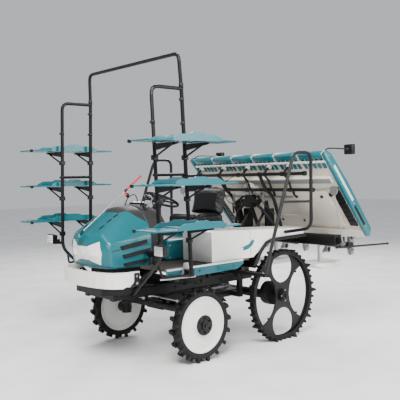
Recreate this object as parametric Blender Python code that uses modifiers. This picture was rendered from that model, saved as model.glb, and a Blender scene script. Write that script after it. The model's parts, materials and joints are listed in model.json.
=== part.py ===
"""Six-row riding rice transplanter, modelled as an assembly of named sub-parts.

Metres, +Z up, the machine faces -Y and its left side is +X. Every sub-part is modelled about the middle
of the front axle at ground level, and hangs under the empty "machine", which moves that point to its place.
A piece that turns or slides hangs under an empty of its own on the joint's axis.
"""
import math

import bmesh
import bpy
from mathutils import Matrix, Vector

# ---- driving dimensions (metres, degrees) ----------------------------------------------------------------
FRONT_AXLE_Y = -0.651          # puts the origin below the middle of the whole machine
TOUCH = 0.0003                 # gap between faces that rest on each other
CLEAR = 0.006                  # running gap between moving neighbours

WHEELBASE = 1.072
FRONT_HALF_TRACK = 0.615
FRONT_TYRE_RADIUS = 0.325
FRONT_RIM_RADIUS = 0.246
FRONT_TYRE_WIDTH = 0.100
REAR_HALF_TRACK = 0.618
REAR_WHEEL_RADIUS = 0.455
REAR_RING_RADIUS = 0.435
REAR_RING_WIDTH = 0.034
REAR_LUG_COUNT = 10
REAR_LUG_WIDTH = 0.124
SPIDER_THICKNESS = 0.012
END_WINDOW_OFFSET = 0.272         # the windows above and below the hub
END_WINDOW_RADIUS = 0.148
SIDE_WINDOW_OFFSET = 0.365        # the taller windows before and behind the hub
SIDE_WINDOW_RADIUS = 0.268
KINGPIN_HALF_SPAN = 0.495
STEERING_ARM = 0.150
STEERING_ARM_Z = 0.520
STEERING_PLATE = 0.014
TIE_ROD_RADIUS = 0.009

RAIL_HALF_SPAN = 0.200
RAIL_WIDTH = 0.050
RAIL_BOTTOM = 0.565
RAIL_TOP = 0.640
RAIL_FRONT = -0.640
RAIL_REAR = WHEELBASE - 0.012

DECK_TOP = 0.860
DECK_THICKNESS = 0.020
DECK_HALF_WIDTH = 0.690
DECK_FRONT = -0.440
DECK_REAR = 0.540
SKIRT_HEIGHT = 0.090
SKIRT_THICKNESS = 0.018

HOOD_HALF_WIDTH = 0.330
HOOD_BOTTOM = 0.850
HOOD_REAR = -0.290
HOOD_WALL = 0.004
HOOD_PIVOT_Y = -0.760
HOOD_PIVOT_Z = 0.850

SEAT_HALF_WIDTH = 0.215
SEAT_FRONT = 0.330
SEAT_REAR = 0.690
SEAT_BOTTOM = 1.165
SEAT_THICKNESS = 0.080
BACK_TOP = 1.490
BACK_THICKNESS = 0.070

RACK_TUBE_RADIUS = 0.016
RACK_POST_RADIUS = 0.0168         # the rear post, a little stouter than the tube that joins it
RACK_X = 0.763                 # post centre at 1 m above ground
RACK_LEAN = -0.050             # metres inward for each metre up
RACK_FRONT_Y = -0.545
RACK_REAR_Y = -0.230
RACK_TOP = 2.340
RACK_BEND_Z = 0.950
RACK_CROSS_Z = 1.632
HOOP_TOP = RACK_TOP + 0.292
SHELF_LEVELS = {"lower": 1.205, "middle": 1.545, "upper": 1.885}
SHELF_FRONT = -0.830
SHELF_LENGTH = 0.900
SHELF_INNER = 0.030            # from the post's centre to the shelf's inner edge
SHELF_WIDTH = 0.300
SHELF_PLATE = 0.012
SHELF_LIP = 0.052

GUARD_X = 1.020
GUARD_TOP = 1.810
GUARD_TUBE_RADIUS = 0.016

LIFT_LOWER_PIVOT = (WHEELBASE - 0.032, 0.600)      # (Y, Z) on the chassis
LIFT_LOWER_END = (WHEELBASE + 0.318, 1.020)        # (Y, Z) on the planting frame
LIFT_UPPER_OFFSET = (0.000, 0.200)     # upper link, the same way over at both ends
LIFT_HALF_SPAN = 0.110
LIFT_BARREL_OFFSET = -0.332       # the cylinder's foot, from the rear axle
LIFT_BAR = 0.036

ROW_PITCH = 0.302
ROWS = 6
PLATFORM_SHIFT = 0.150
PLATFORM_HALF_WIDTH = 0.950
PLATFORM_TOP = (WHEELBASE + 0.095, 1.800)          # (Y, Z) of the board's top edge
PLATFORM_BOTTOM = (WHEELBASE + 0.758, 1.010)       # (Y, Z) of its lower edge
BOARD_THICKNESS = 0.022
DIVIDER_HEIGHT = 0.045
ROTOR_AXIS = (WHEELBASE + 0.958, 0.860)            # (Y, Z)
ROTOR_REACH = 0.125
FLOAT_BOTTOM = 0.640
FLOAT_HEIGHT = 0.060
GUARD_ROD_X = 1.130
MARKER_Z = 0.930
MARKER_LENGTH = 0.520
PLANTING_BEAM_Y = WHEELBASE + 0.408
PLANTING_BEAM_Z = 0.960

# ---- toolkit ---------------------------------------------------------------------------------------------
AXIS_TURN = {
    "X": Matrix.Rotation(math.radians(90), 4, "Y"),
    "Y": Matrix.Rotation(math.radians(-90), 4, "X"),
    "Z": Matrix.Identity(4),
}
MATERIALS = {}


def clear_scene():
    """Remove what the scene starts with."""
    for obj in list(bpy.data.objects):
        bpy.data.objects.remove(obj)


def material(name, colour, roughness, metallic=0.0):
    """A Principled material, made once for each name."""
    if name not in MATERIALS:
        made = bpy.data.materials.new(name)
        made.use_nodes = True
        shader = made.node_tree.nodes["Principled BSDF"]
        shader.inputs["Base Color"].default_value = (*colour, 1.0)
        shader.inputs["Roughness"].default_value = roughness
        shader.inputs["Metallic"].default_value = metallic
        MATERIALS[name] = made
    return MATERIALS[name]


def link(name, mesh):
    """Put a mesh in the machine's collection as a new object."""
    obj = bpy.data.objects.new(name, mesh)
    COLLECTION.objects.link(obj)
    return obj


def from_bmesh(name, bm):
    """Finish a bmesh: weld it, turn its faces outward and make it an object."""
    bmesh.ops.remove_doubles(bm, verts=bm.verts, dist=0.00001)
    bmesh.ops.recalc_face_normals(bm, faces=bm.faces)
    mesh = bpy.data.meshes.new(name)
    bm.to_mesh(mesh)
    bm.free()
    return link(name, mesh)


def baked(obj):
    """Replace an object by the plain mesh that its modifiers, bevel or fill give it."""
    graph = bpy.context.evaluated_depsgraph_get()
    mesh = bpy.data.meshes.new_from_object(obj.evaluated_get(graph))
    mesh.transform(obj.matrix_world)
    bm = bmesh.new()
    bm.from_mesh(mesh)
    name = obj.name
    bpy.data.objects.remove(obj)
    return from_bmesh(name, bm)


def box(name, low, high, bevel=0.0, segments=1):
    """A box between two corners, with its edges rounded if a bevel is given."""
    low, high = Vector(low), Vector(high)
    bm = bmesh.new()
    bmesh.ops.create_cube(bm, size=1.0)
    bmesh.ops.scale(bm, vec=high - low, verts=bm.verts)
    bmesh.ops.translate(bm, vec=(low + high) / 2, verts=bm.verts)
    if bevel:
        bmesh.ops.bevel(bm, geom=bm.edges[:], offset=bevel, segments=segments, profile=0.5,
                        affect="EDGES", material=-1)
    return from_bmesh(name, bm)


def rod(name, start, end, radius, sides=12, end_radius=None):
    """A round bar, or a cone, between two points."""
    start, end = Vector(start), Vector(end)
    along = end - start
    bm = bmesh.new()
    bmesh.ops.create_cone(bm, cap_ends=True, segments=sides, radius1=radius,
                          radius2=radius if end_radius is None else end_radius, depth=along.length)
    turn = along.to_track_quat("Z", "Y").to_matrix().to_4x4()
    bmesh.ops.transform(bm, matrix=Matrix.Translation((start + end) / 2) @ turn, verts=bm.verts)
    return from_bmesh(name, bm)


def hull(name, points, bevel=0.0, segments=1):
    """The convex solid around some corner points."""
    bm = bmesh.new()
    for point in points:
        bm.verts.new(point)
    made = bmesh.ops.convex_hull(bm, input=bm.verts)
    inside = {v for v in made["geom_interior"] + made["geom_unused"] if isinstance(v, bmesh.types.BMVert)}
    bmesh.ops.delete(bm, geom=list(inside), context="VERTS")
    bmesh.ops.dissolve_limit(bm, angle_limit=math.radians(1), verts=bm.verts, edges=bm.edges)
    if bevel:
        bmesh.ops.bevel(bm, geom=bm.edges[:], offset=bevel, segments=segments, profile=0.5,
                        affect="EDGES", material=-1, clamp_overlap=True)
    return from_bmesh(name, bm)


def plate(name, outline, thickness, axis, centre):
    """A flat outline of (u, v) points, as thick as given, across the X, Y or Z axis.

    Across X, u is Y and v is Z. Across Y, u is X and v is Z. Across Z, u is X and v is Y.
    """
    curve = bpy.data.curves.new(name, "CURVE")
    curve.dimensions = "2D"
    curve.fill_mode = "BOTH"
    curve.extrude = thickness / 2
    spline = curve.splines.new("POLY")
    spline.points.add(len(outline) - 1)
    for point, (u, v) in zip(spline.points, outline):
        point.co = (u, v, 0, 1)
    spline.use_cyclic_u = True
    obj = link(name, curve)
    turn = {
        "X": Matrix(((0, 0, 1, 0), (1, 0, 0, 0), (0, 1, 0, 0), (0, 0, 0, 1))),
        "Y": Matrix(((1, 0, 0, 0), (0, 0, -1, 0), (0, 1, 0, 0), (0, 0, 0, 1))),
        "Z": Matrix.Identity(4),
    }[axis]
    shift = {"X": (centre, 0, 0), "Y": (0, centre, 0), "Z": (0, 0, centre)}[axis]
    obj.matrix_world = Matrix.Translation(shift) @ turn
    bpy.context.view_layer.update()
    return baked(obj)


def rounded(points, bend, steps=4):
    """A path with its inner corners swept in curves of about the bend's size."""
    points = [Vector(p) for p in points]
    path = [points[0]]
    for before, corner, after in zip(points, points[1:], points[2:]):
        start = corner + (before - corner).normalized() * min(bend, (before - corner).length * 0.45)
        end = corner + (after - corner).normalized() * min(bend, (after - corner).length * 0.45)
        for i in range(steps + 1):
            t = i / steps
            path.append(start * (1 - t) ** 2 + corner * 2 * t * (1 - t) + end * t ** 2)
    path.append(points[-1])
    return path


def tube(name, points, radius, bend=0.0, resolution=2, cyclic=False):
    """A round bar bent along a path."""
    path = rounded(points, bend) if bend else [Vector(p) for p in points]
    curve = bpy.data.curves.new(name, "CURVE")
    curve.dimensions = "3D"
    curve.bevel_depth = radius
    curve.bevel_resolution = resolution
    curve.use_fill_caps = not cyclic
    spline = curve.splines.new("POLY")
    spline.points.add(len(path) - 1)
    for point, place in zip(spline.points, path):
        point.co = (*place, 1)
    spline.use_cyclic_u = cyclic
    obj = link(name, curve)
    bpy.context.view_layer.update()
    return baked(obj)


def turned(name, profile, centre, axis="X", steps=36, closed=True):
    """A shape turned about an axis through a centre, from (radius, along) points."""
    bm = bmesh.new()
    verts = [bm.verts.new((radius, 0, along)) for radius, along in profile]
    for a, b in zip(verts, verts[1:]):
        bm.edges.new((a, b))
    if closed:
        bm.edges.new((verts[-1], verts[0]))
    mesh = bpy.data.meshes.new(name)
    bm.to_mesh(mesh)
    bm.free()
    obj = link(name, mesh)
    screw = obj.modifiers.new("turn", "SCREW")
    screw.steps = steps
    screw.render_steps = steps
    screw.use_merge_vertices = True
    screw.merge_threshold = 0.0001
    obj.matrix_world = Matrix.Translation(centre) @ AXIS_TURN[axis]
    bpy.context.view_layer.update()
    return baked(obj)


def combined(first, others, operation):
    """Join or cut meshes with one exact Boolean, and take the tools away."""
    tools = bpy.data.collections.new("tools")
    bpy.context.scene.collection.children.link(tools)
    for other in others:
        COLLECTION.objects.unlink(other)
        tools.objects.link(other)
    modifier = first.modifiers.new("combine", "BOOLEAN")
    modifier.operation = operation
    modifier.operand_type = "COLLECTION"
    modifier.collection = tools
    modifier.solver = "EXACT"
    bpy.context.view_layer.update()
    result = baked(first)
    for other in others:
        bpy.data.objects.remove(other)
    bpy.data.collections.remove(tools)
    return result


def fused(name, pieces):
    """Join overlapping meshes into one closed body."""
    result = combined(pieces[0], pieces[1:], "UNION")
    result.name = name
    return result


def cut(solid, cutters):
    """Take the cutters' shapes out of a solid."""
    name = solid.name
    result = combined(solid, cutters, "DIFFERENCE")
    result.name = name
    return result


def mirrored(name, source):
    """The same piece on the machine's right side."""
    mesh = source.data.copy()
    mesh.transform(Matrix.Diagonal((-1, 1, 1, 1)))
    bm = bmesh.new()
    bm.from_mesh(mesh)
    return from_bmesh(name, bm)


def shade(obj):
    """Smooth shading, with the edges over 35 degrees kept sharp."""
    obj.data.shade_smooth()
    obj.data.set_sharp_from_angle(angle=math.radians(35))


def finish(obj, name, finish_material, parent, smooth=True):
    """Name and colour a sub-part, and hang it under its parent empty with its origin on the empty."""
    obj.name = name
    obj.data.name = name
    obj.data.materials.clear()
    obj.data.materials.append(finish_material)
    if smooth:
        shade(obj)
    place = parent["place"].to_list() if parent is not MACHINE else [0, 0, 0]
    obj.data.transform(Matrix.Translation([-c for c in place]))
    obj.parent = parent
    return obj


def joint_empty(name, place, parent):
    """An empty on a joint's axis, for the pieces that move with that joint."""
    empty = bpy.data.objects.new(name, None)
    COLLECTION.objects.link(empty)
    empty["place"] = [float(c) for c in place]
    above = parent["place"].to_list() if parent is not MACHINE else [0, 0, 0]
    empty.parent = parent
    empty.location = [c - a for c, a in zip(place, above)]
    return empty


def arc(centre, radius, start, end, steps):
    """Points along a circular arc, in degrees."""
    angles = [math.radians(start + (end - start) * i / steps) for i in range(steps + 1)]
    return [(centre[0] + radius * math.cos(a), centre[1] + radius * math.sin(a)) for a in angles]


def post_point(y, z):
    """A point on the left rack's post line at a height; the posts lean inward."""
    return (RACK_X + RACK_LEAN * (z - 1.0), y, z)


# ---- finishes --------------------------------------------------------------------------------------------
def finishes():
    """The paints, plastics and rubbers of the machine, by name."""
    return {
        "teal": material("teal_paint", (0.0, 0.36, 0.37), 0.35),
        "white": material("white_paint", (0.82, 0.81, 0.77), 0.4),
        "cream": material("cream_plastic", (0.78, 0.74, 0.66), 0.5),
        "black": material("black_paint", (0.02, 0.02, 0.022), 0.4),
        "iron": material("dark_casting", (0.05, 0.05, 0.055), 0.55, 0.4),
        "rubber": material("tyre_rubber", (0.018, 0.018, 0.018), 0.85),
        "floor": material("floor_mat", (0.16, 0.13, 0.115), 0.8),
        "cowl": material("cowl_plastic", (0.11, 0.095, 0.085), 0.6),
        "seat": material("seat_vinyl", (0.012, 0.012, 0.014), 0.55),
        "steel": material("bare_steel", (0.45, 0.45, 0.46), 0.35, 0.9),
        "red": material("red_plastic", (0.6, 0.02, 0.02), 0.45),
    }


def aft(offset):
    """The place Y that far behind the rear axle."""
    return WHEELBASE + offset


# ---- chassis ---------------------------------------------------------------------------------------------
def chassis_frame(paint):
    """Two long rails with cross members, a front skid plate and the carriers of the deck."""
    pieces = []
    for side in (-1, 1):
        x = side * RAIL_HALF_SPAN
        pieces.append(box("rail", (x - RAIL_WIDTH / 2, RAIL_FRONT, RAIL_BOTTOM),
                          (x + RAIL_WIDTH / 2, RAIL_REAR, RAIL_TOP)))
    for y in (RAIL_FRONT + 0.03, -0.10, 0.52, 0.80):
        pieces.append(box("cross", (-RAIL_HALF_SPAN, y - 0.025, RAIL_BOTTOM + 0.010),
                          (RAIL_HALF_SPAN, y + 0.025, RAIL_TOP - 0.005)))
    for y in (DECK_FRONT + 0.14, DECK_REAR - 0.06):
        pieces.append(box("outrigger", (-DECK_HALF_WIDTH + 0.02, y - 0.020, RAIL_TOP + 0.100),
                          (DECK_HALF_WIDTH - 0.02, y + 0.020, RAIL_TOP + 0.140)))
        for side in (-1, 1):
            x = side * RAIL_HALF_SPAN
            pieces.append(box("riser", (x - 0.015, y - 0.015, RAIL_TOP - 0.010),
                              (x + 0.015, y + 0.015, RAIL_TOP + 0.110)))
    pieces.append(box("guard_bar", (-GUARD_X - 0.005, 0.385, RAIL_TOP + 0.090),
                      (GUARD_X + 0.005, 0.415, RAIL_TOP + 0.120)))
    for side in (-1, 1):
        x = side * RAIL_HALF_SPAN
        pieces.append(box("guard_riser", (x - 0.012, 0.388, RAIL_TOP - 0.010),
                          (x + 0.012, 0.412, RAIL_TOP + 0.100)))
        y, z = LIFT_LOWER_PIVOT
        for x in (side * (LIFT_HALF_SPAN + 0.040),):
            pieces.append(box("lift_ear", (x - 0.010, y - 0.050, RAIL_TOP - 0.030),
                              (x + 0.010, y + 0.050, z + LIFT_UPPER_OFFSET[1] + 0.040)))
            pieces.append(box("ear_foot", (min(x, side * RAIL_HALF_SPAN), y - 0.050, RAIL_TOP - 0.040),
                              (max(x, side * RAIL_HALF_SPAN), y + 0.050, RAIL_TOP - 0.015)))
    skid = [(-0.300, -0.640), (-0.300, -0.500), (0.300, -0.500), (0.300, -0.640), (0.200, -0.740),
            (-0.200, -0.740)]
    pieces.append(plate("skid", skid, 0.070, "Z", RAIL_TOP + 0.020))
    frame = fused("chassis_frame", pieces)
    return finish(frame, "chassis_frame", paint["black"], MACHINE, smooth=False)


def drive_train(paint):
    """The engine's block, the gearbox and the two axle housings."""
    engine = box("engine_block", (-0.190, -0.600, RAIL_TOP + 0.055 + TOUCH), (0.190, -0.330, 0.980), 0.015)
    finish(engine, "engine_block", paint["iron"], MACHINE)
    gearbox = box("gearbox", (-0.150, 0.060, 0.380), (0.150, 0.470, RAIL_BOTTOM - TOUCH), 0.030, 2)
    finish(gearbox, "gearbox", paint["iron"], MACHINE)
    front = fused("front_axle", [
        rod("beam", (-0.440, 0, 0.430), (0.440, 0, 0.430), 0.045, 16),
        box("nose", (-0.120, -0.030, 0.385), (0.120, 0.060 - TOUCH, 0.475)),
        box("hanger_a", (-RAIL_HALF_SPAN - 0.02, -0.030, 0.430), (-RAIL_HALF_SPAN + 0.02, 0.030,
                                                                   RAIL_BOTTOM - TOUCH)),
        box("hanger_b", (RAIL_HALF_SPAN - 0.02, -0.030, 0.430), (RAIL_HALF_SPAN + 0.02, 0.030,
                                                                  RAIL_BOTTOM - TOUCH)),
    ])
    finish(front, "front_axle", paint["iron"], MACHINE)
    rear_z = REAR_RING_RADIUS
    pieces = [rod("beam", (-0.480, WHEELBASE, rear_z - 0.02), (0.480, WHEELBASE, rear_z - 0.02), 0.045, 16),
              box("link_box", (-0.110, 0.470 + TOUCH, 0.385), (0.110, WHEELBASE, 0.445), 0.02)]
    for side in (-1, 1):
        pieces.append(rod("case", (side * 0.440, WHEELBASE - 0.02, rear_z + 0.01),
                          (side * 0.535, WHEELBASE - 0.02, rear_z + 0.01), 0.115, 20))
        pieces.append(rod("stub", (side * 0.500, WHEELBASE, rear_z),
                          (side * (REAR_HALF_TRACK - 0.040), WHEELBASE, rear_z), 0.030, 16))
        pieces.append(box("post", (side * RAIL_HALF_SPAN - 0.02, 0.880, 0.400),
                          (side * RAIL_HALF_SPAN + 0.02, 0.930, RAIL_BOTTOM - TOUCH)))
        pieces.append(box("post_foot", (min(0, side * (RAIL_HALF_SPAN + 0.02)), 0.880, 0.390),
                          (max(0, side * (RAIL_HALF_SPAN + 0.02)), 0.930, 0.440)))
    finish(fused("rear_axle", pieces), "rear_axle", paint["iron"], MACHINE)


def deck(paint):
    """The footplate, its side skirts, the raised centre under the seat and the rear covers."""
    notch = HOOD_HALF_WIDTH + 0.015
    notch_end = HOOD_REAR + 0.005
    outline = [(-DECK_HALF_WIDTH, DECK_FRONT), (-notch, DECK_FRONT), (-notch, notch_end), (notch, notch_end),
               (notch, DECK_FRONT), (DECK_HALF_WIDTH, DECK_FRONT), (DECK_HALF_WIDTH, DECK_REAR),
               (-DECK_HALF_WIDTH, DECK_REAR)]
    floor = plate("footplate", outline, DECK_THICKNESS, "Z", DECK_TOP - DECK_THICKNESS / 2)
    finish(floor, "footplate", paint["floor"], MACHINE, smooth=False)
    outline = [(DECK_FRONT - 0.010, DECK_TOP), (DECK_FRONT + 0.030, DECK_TOP - SKIRT_HEIGHT),
               (0.370, DECK_TOP - SKIRT_HEIGHT * 0.9), (0.450, DECK_TOP - 0.040), (0.450, DECK_TOP)]
    x = DECK_HALF_WIDTH + TOUCH + SKIRT_THICKNESS / 2
    skirt = plate("skirt_left", outline, SKIRT_THICKNESS, "X", x)
    right = mirrored("skirt_right", skirt)
    finish(skirt, "skirt_left", paint["teal"], MACHINE, smooth=False)
    finish(right, "skirt_right", paint["teal"], MACHINE, smooth=False)
    ear_front = 0.680
    ear_rear = aft(LIFT_BARREL_OFFSET + 0.025)
    base = fused("seat_base", [
        box("tunnel", (-0.300, -0.100, DECK_TOP + TOUCH), (0.300, 0.700, 1.050), 0.020, 2),
        box("stool", (-0.230, 0.300, 1.000), (0.230, 0.700, SEAT_BOTTOM - TOUCH), 0.015),
        box("cylinder_ear_a", (-0.040, ear_front, 0.890), (-0.030, ear_rear, 0.950)),
        box("cylinder_ear_b", (0.030, ear_front, 0.890), (0.040, ear_rear, 0.950)),
    ])
    finish(base, "seat_base", paint["teal"], MACHINE)
    inner = 0.300 + CLEAR
    arch = [(0.080, DECK_TOP + TOUCH), (0.080, 1.125), (0.110, 1.135), (1.310, 1.080), (1.330, 1.060),
            (1.330, 1.020), (0.840, 1.010), (0.760, 0.985), (0.690, 0.920), (0.600, DECK_TOP + TOUCH)]
    for side, label in ((1, "left"), (-1, "right")):
        middle = side * (inner + DECK_HALF_WIDTH) / 2
        cover = plate("rear_cover", arch, DECK_HALF_WIDTH - inner, "X", middle)
        hollow = [(0.084, DECK_TOP - 0.1), (0.084, 1.121), (0.112, 1.131), (1.306, 1.076), (1.326, 1.056),
                  (1.326, 0.9), (0.600, 0.7)]
        cover = cut(cover, [plate("hollow", hollow, DECK_HALF_WIDTH - inner - 0.008, "X", middle)])
        finish(cover, f"rear_cover_{label}", paint["white"], MACHINE, smooth=False)
        guard = [(0.600, 0.760), (0.690, 0.905), (0.765, 0.970), (0.845, 0.995), (1.360, 1.008),
                 (1.360, 1.000), (0.848, 0.987), (0.770, 0.963), (0.698, 0.900), (0.608, 0.756)]
        finish(plate("mudguard", guard, 0.200, "X", side * 0.610), f"mudguard_{label}", paint["black"],
               MACHINE, smooth=False)


def seat(paint):
    """The operator's cushion and backrest, as plain closed solids."""
    cushion = box("seat_cushion", (-SEAT_HALF_WIDTH, SEAT_FRONT, SEAT_BOTTOM),
                  (SEAT_HALF_WIDTH, SEAT_REAR, SEAT_BOTTOM + SEAT_THICKNESS), 0.025, 3)
    finish(cushion, "seat_cushion", paint["seat"], MACHINE)
    low = SEAT_BOTTOM + SEAT_THICKNESS + TOUCH
    lean = 0.050
    back = hull("seat_back", [
        (x, SEAT_REAR - BACK_THICKNESS + dy + (lean if z > low else 0), z)
        for x in (-SEAT_HALF_WIDTH, SEAT_HALF_WIDTH) for dy in (0, BACK_THICKNESS)
        for z in (low, BACK_TOP)], 0.022, 3)
    finish(back, "seat_back", paint["seat"], MACHINE)


def front_body(paint):
    """The white bumper, the hinged hood and the instrument cowl with its column."""
    outer = [(-0.455, -0.525), (-0.455, -0.620), (-0.440, -0.690), (-0.400, -0.745), (-0.330, -0.785),
             (-0.230, -0.812), (-0.115, -0.826), (0.0, -0.830), (0.115, -0.826), (0.230, -0.812),
             (0.330, -0.785), (0.400, -0.745), (0.440, -0.690), (0.455, -0.620), (0.455, -0.525)]
    inner = [(x * 0.93, y + (0.028 if y < -0.53 else 0)) for x, y in reversed(outer)]
    bumper = plate("bumper", outer + inner, 0.130, "Z", 0.770)
    below = [(-0.500, 0.790), (-0.560, 0.790), (-0.600, 0.735), (-0.660, 0.715), (-0.700, 0.700),
             (-0.700, 0.650), (-0.500, 0.650)]
    steps = [plate("step", below, 0.10, "X", side * 0.455) for side in (-1, 1)]
    bumper = cut(bumper, steps)
    bumper = fused("bumper", [bumper, box("bracket", (-0.440, -0.630, 0.712), (0.440, -0.605, 0.735)),
                              box("foot_a", (-0.24, -0.630, 0.695 + TOUCH), (-0.16, -0.605, 0.720)),
                              box("foot_b", (0.16, -0.630, 0.695 + TOUCH), (0.24, -0.605, 0.720))])
    finish(bumper, "bumper", paint["white"], MACHINE, smooth=False)

    corners = []
    for side in (-1, 1):
        for x, y, z in ((0.330, HOOD_REAR, HOOD_BOTTOM), (0.300, -0.700, HOOD_BOTTOM),
                        (0.335, HOOD_REAR, 1.105), (0.310, -0.720, 1.050), (0.100, -0.745, HOOD_BOTTOM),
                        (0.290, HOOD_REAR, 1.220), (0.200, -0.740, 1.150), (0.060, -0.780, 1.130),
                        (0.170, -0.434, 1.330), (0.050, -0.434, 1.352), (0.180, HOOD_REAR, 1.330),
                        (0.060, HOOD_REAR, 1.362), (0.100, -0.790, 1.000)):
            corners.append((side * x, y, z))
    solid = hull("hood", corners, 0.018, 2)
    bm = bmesh.new()
    bm.from_mesh(solid.data)
    bpy.data.objects.remove(solid)
    open_faces = [f for f in bm.faces if f.normal.z < -0.95 or f.normal.y > 0.95]
    bmesh.ops.delete(bm, geom=open_faces, context="FACES")
    bmesh.ops.recalc_face_normals(bm, faces=bm.faces)
    shell = from_bmesh("hood", bm)
    wall = shell.modifiers.new("wall", "SOLIDIFY")
    wall.thickness = HOOD_WALL
    wall.offset = -1
    wall.use_even_offset = True
    pivot = joint_empty("hood_hinge", (0, HOOD_PIVOT_Y, HOOD_PIVOT_Z), MACHINE)
    ears = [box("ear", (side * 0.024 - 0.004, -0.850, 1.105), (side * 0.024 + 0.004, -0.772, 1.140))
            for side in (-1, 1)]
    finish(fused("hood", [baked(shell)] + ears), "hood", paint["teal"], pivot)

    front = HOOD_REAR + CLEAR
    cowl = hull("cowl", [(side * x, y, z) for side in (-1, 1) for x, y, z in (
        (0.310, front, DECK_TOP + TOUCH), (0.280, -0.160, DECK_TOP + TOUCH), (0.300, front, 1.105),
        (0.270, front, 1.215), (0.160, front, 1.335), (0.050, front, 1.365), (0.100, -0.180, 1.375),
        (0.220, -0.100, 1.290), (0.240, -0.060, 1.200), (0.200, -0.160, 1.000))], 0.012, 2)
    finish(cowl, "instrument_cowl", paint["cowl"], MACHINE)


def steering(paint):
    """Wheel and column, then the pitman arm, the tie rods and the knuckles that follow them."""
    top = Vector((0, 0.080, 1.400))
    down = Vector((0, -0.42, -0.90)).normalized()
    column_top = top + down * 0.030
    column = rod("steering_column", column_top, top + down * 0.085, 0.024, 16)
    seat_on = box("column_box", (-0.05, -0.055, 1.215), (0.05, 0.045, 1.335), 0.01)
    column = fused("steering_column", [column, seat_on])
    finish(column, "steering_column", paint["black"], MACHINE)
    pivot = joint_empty("steering_wheel_axis", top, MACHINE)
    rim = turned("rim", [(0.165 + 0.013 * math.cos(a), 0.013 * math.sin(a)) for a in
                         [math.radians(45 * i) for i in range(8)]], (0, 0, 0), "Z", 32)
    pieces = [rim, rod("hub", (0, 0, -0.020), (0, 0, 0.015), 0.038, 20)]
    for angle in (90, 210, 330):
        a = math.radians(angle)
        pieces.append(rod("spoke", (0, 0, -0.003), (0.166 * math.cos(a), 0.166 * math.sin(a), 0), 0.009, 8))
    wheel = fused("steering_wheel", pieces)
    tilt = (-down).to_track_quat("Z", "Y").to_matrix().to_4x4()
    wheel.data.transform(Matrix.Translation(top) @ tilt)
    finish(wheel, "steering_wheel", paint["black"], pivot)

    plane = STEERING_ARM_Z
    pivot = joint_empty("pitman_axis", (0, 0, plane), MACHINE)
    pitman = fused("pitman_arm", [
        box("arm", (-0.020, -STEERING_ARM - 0.020, plane - STEERING_PLATE / 2),
            (0.020, 0.020, plane + STEERING_PLATE / 2), 0.003),
        rod("shaft", (0, 0, plane - 0.004), (0, 0, RAIL_BOTTOM - 0.004), 0.014, 16)])
    finish(pitman, "pitman_arm", paint["iron"], pivot)
    for side, label in ((1, "left"), (-1, "right")):
        x = side * KINGPIN_HALF_SPAN
        pivot = joint_empty(f"kingpin_{label}", (x, 0, 0), MACHINE)
        knuckle = fused(f"knuckle_{label}", [
            rod("case", (x, 0, 0.275), (x, 0, 0.560), 0.046, 18),
            rod("lower", (x - side * 0.020, 0, FRONT_TYRE_RADIUS), (side * (FRONT_HALF_TRACK - 0.040), 0,
                                                                   FRONT_TYRE_RADIUS), 0.050, 18),
            box("arm", (x - 0.016, -STEERING_ARM - 0.018, plane - STEERING_PLATE / 2),
                (x + 0.016, 0, plane + STEERING_PLATE / 2), 0.003)])
        finish(knuckle, f"knuckle_{label}", paint["iron"], pivot)
        end = joint_empty(f"tie_rod_pin_{label}", (x, -STEERING_ARM, 0), pivot)
        z = plane + side * (STEERING_PLATE / 2 + TOUCH + TIE_ROD_RADIUS + 0.002)
        link_rod = fused(f"tie_rod_{label}", [
            rod("bar", (x, -STEERING_ARM, z), (0, -STEERING_ARM, z), TIE_ROD_RADIUS, 10),
            rod("eye_a", (x, -STEERING_ARM, z - TIE_ROD_RADIUS - 0.002), (x, -STEERING_ARM,
                z + TIE_ROD_RADIUS + 0.002), 0.016, 14),
            rod("eye_b", (0, -STEERING_ARM, z - TIE_ROD_RADIUS - 0.002), (0, -STEERING_ARM,
                z + TIE_ROD_RADIUS + 0.002), 0.016, 14)])
        finish(link_rod, f"tie_rod_{label}", paint["steel"], end)


# ---- wheels ----------------------------------------------------------------------------------------------
def front_wheel(side, label, paint):
    """A bar-lugged tyre on a dished disc with a black hub cap; it hangs under its kingpin."""
    x = side * FRONT_HALF_TRACK
    kingpin = bpy.data.objects[f"kingpin_{label}"]
    axle = joint_empty(f"front_axle_end_{label}", (x, 0, FRONT_TYRE_RADIUS), kingpin)
    half = FRONT_TYRE_WIDTH / 2
    r_out, r_in = FRONT_TYRE_RADIUS, FRONT_RIM_RADIUS + TOUCH
    profile = [(r_in, -half * 0.70), (r_in + 0.020, -half * 0.95), (r_out - 0.030, -half),
               (r_out, -half * 0.80), (r_out, half * 0.80), (r_out - 0.030, half),
               (r_in + 0.020, half * 0.95), (r_in, half * 0.70)]
    tyre = turned("tyre", profile, (x, 0, FRONT_TYRE_RADIUS), "X", 40)
    finish(tyre, f"front_tyre_{label}", paint["rubber"], axle)
    edge = FRONT_RIM_RADIUS
    dish = [(0.0, -0.030), (0.060, -0.030), (0.200, -0.010), (edge, -half * 0.66), (edge, half * 0.66),
            (0.215, 0.022), (0.100, 0.026), (0.088, 0.045), (0.0, 0.045)]
    if side < 0:
        dish = [(r, -a) for r, a in reversed(dish)]
    disc = turned("disc", dish, (x, 0, FRONT_TYRE_RADIUS), "X", 40, closed=False)
    finish(disc, f"front_disc_{label}", paint["white"], axle)


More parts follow.
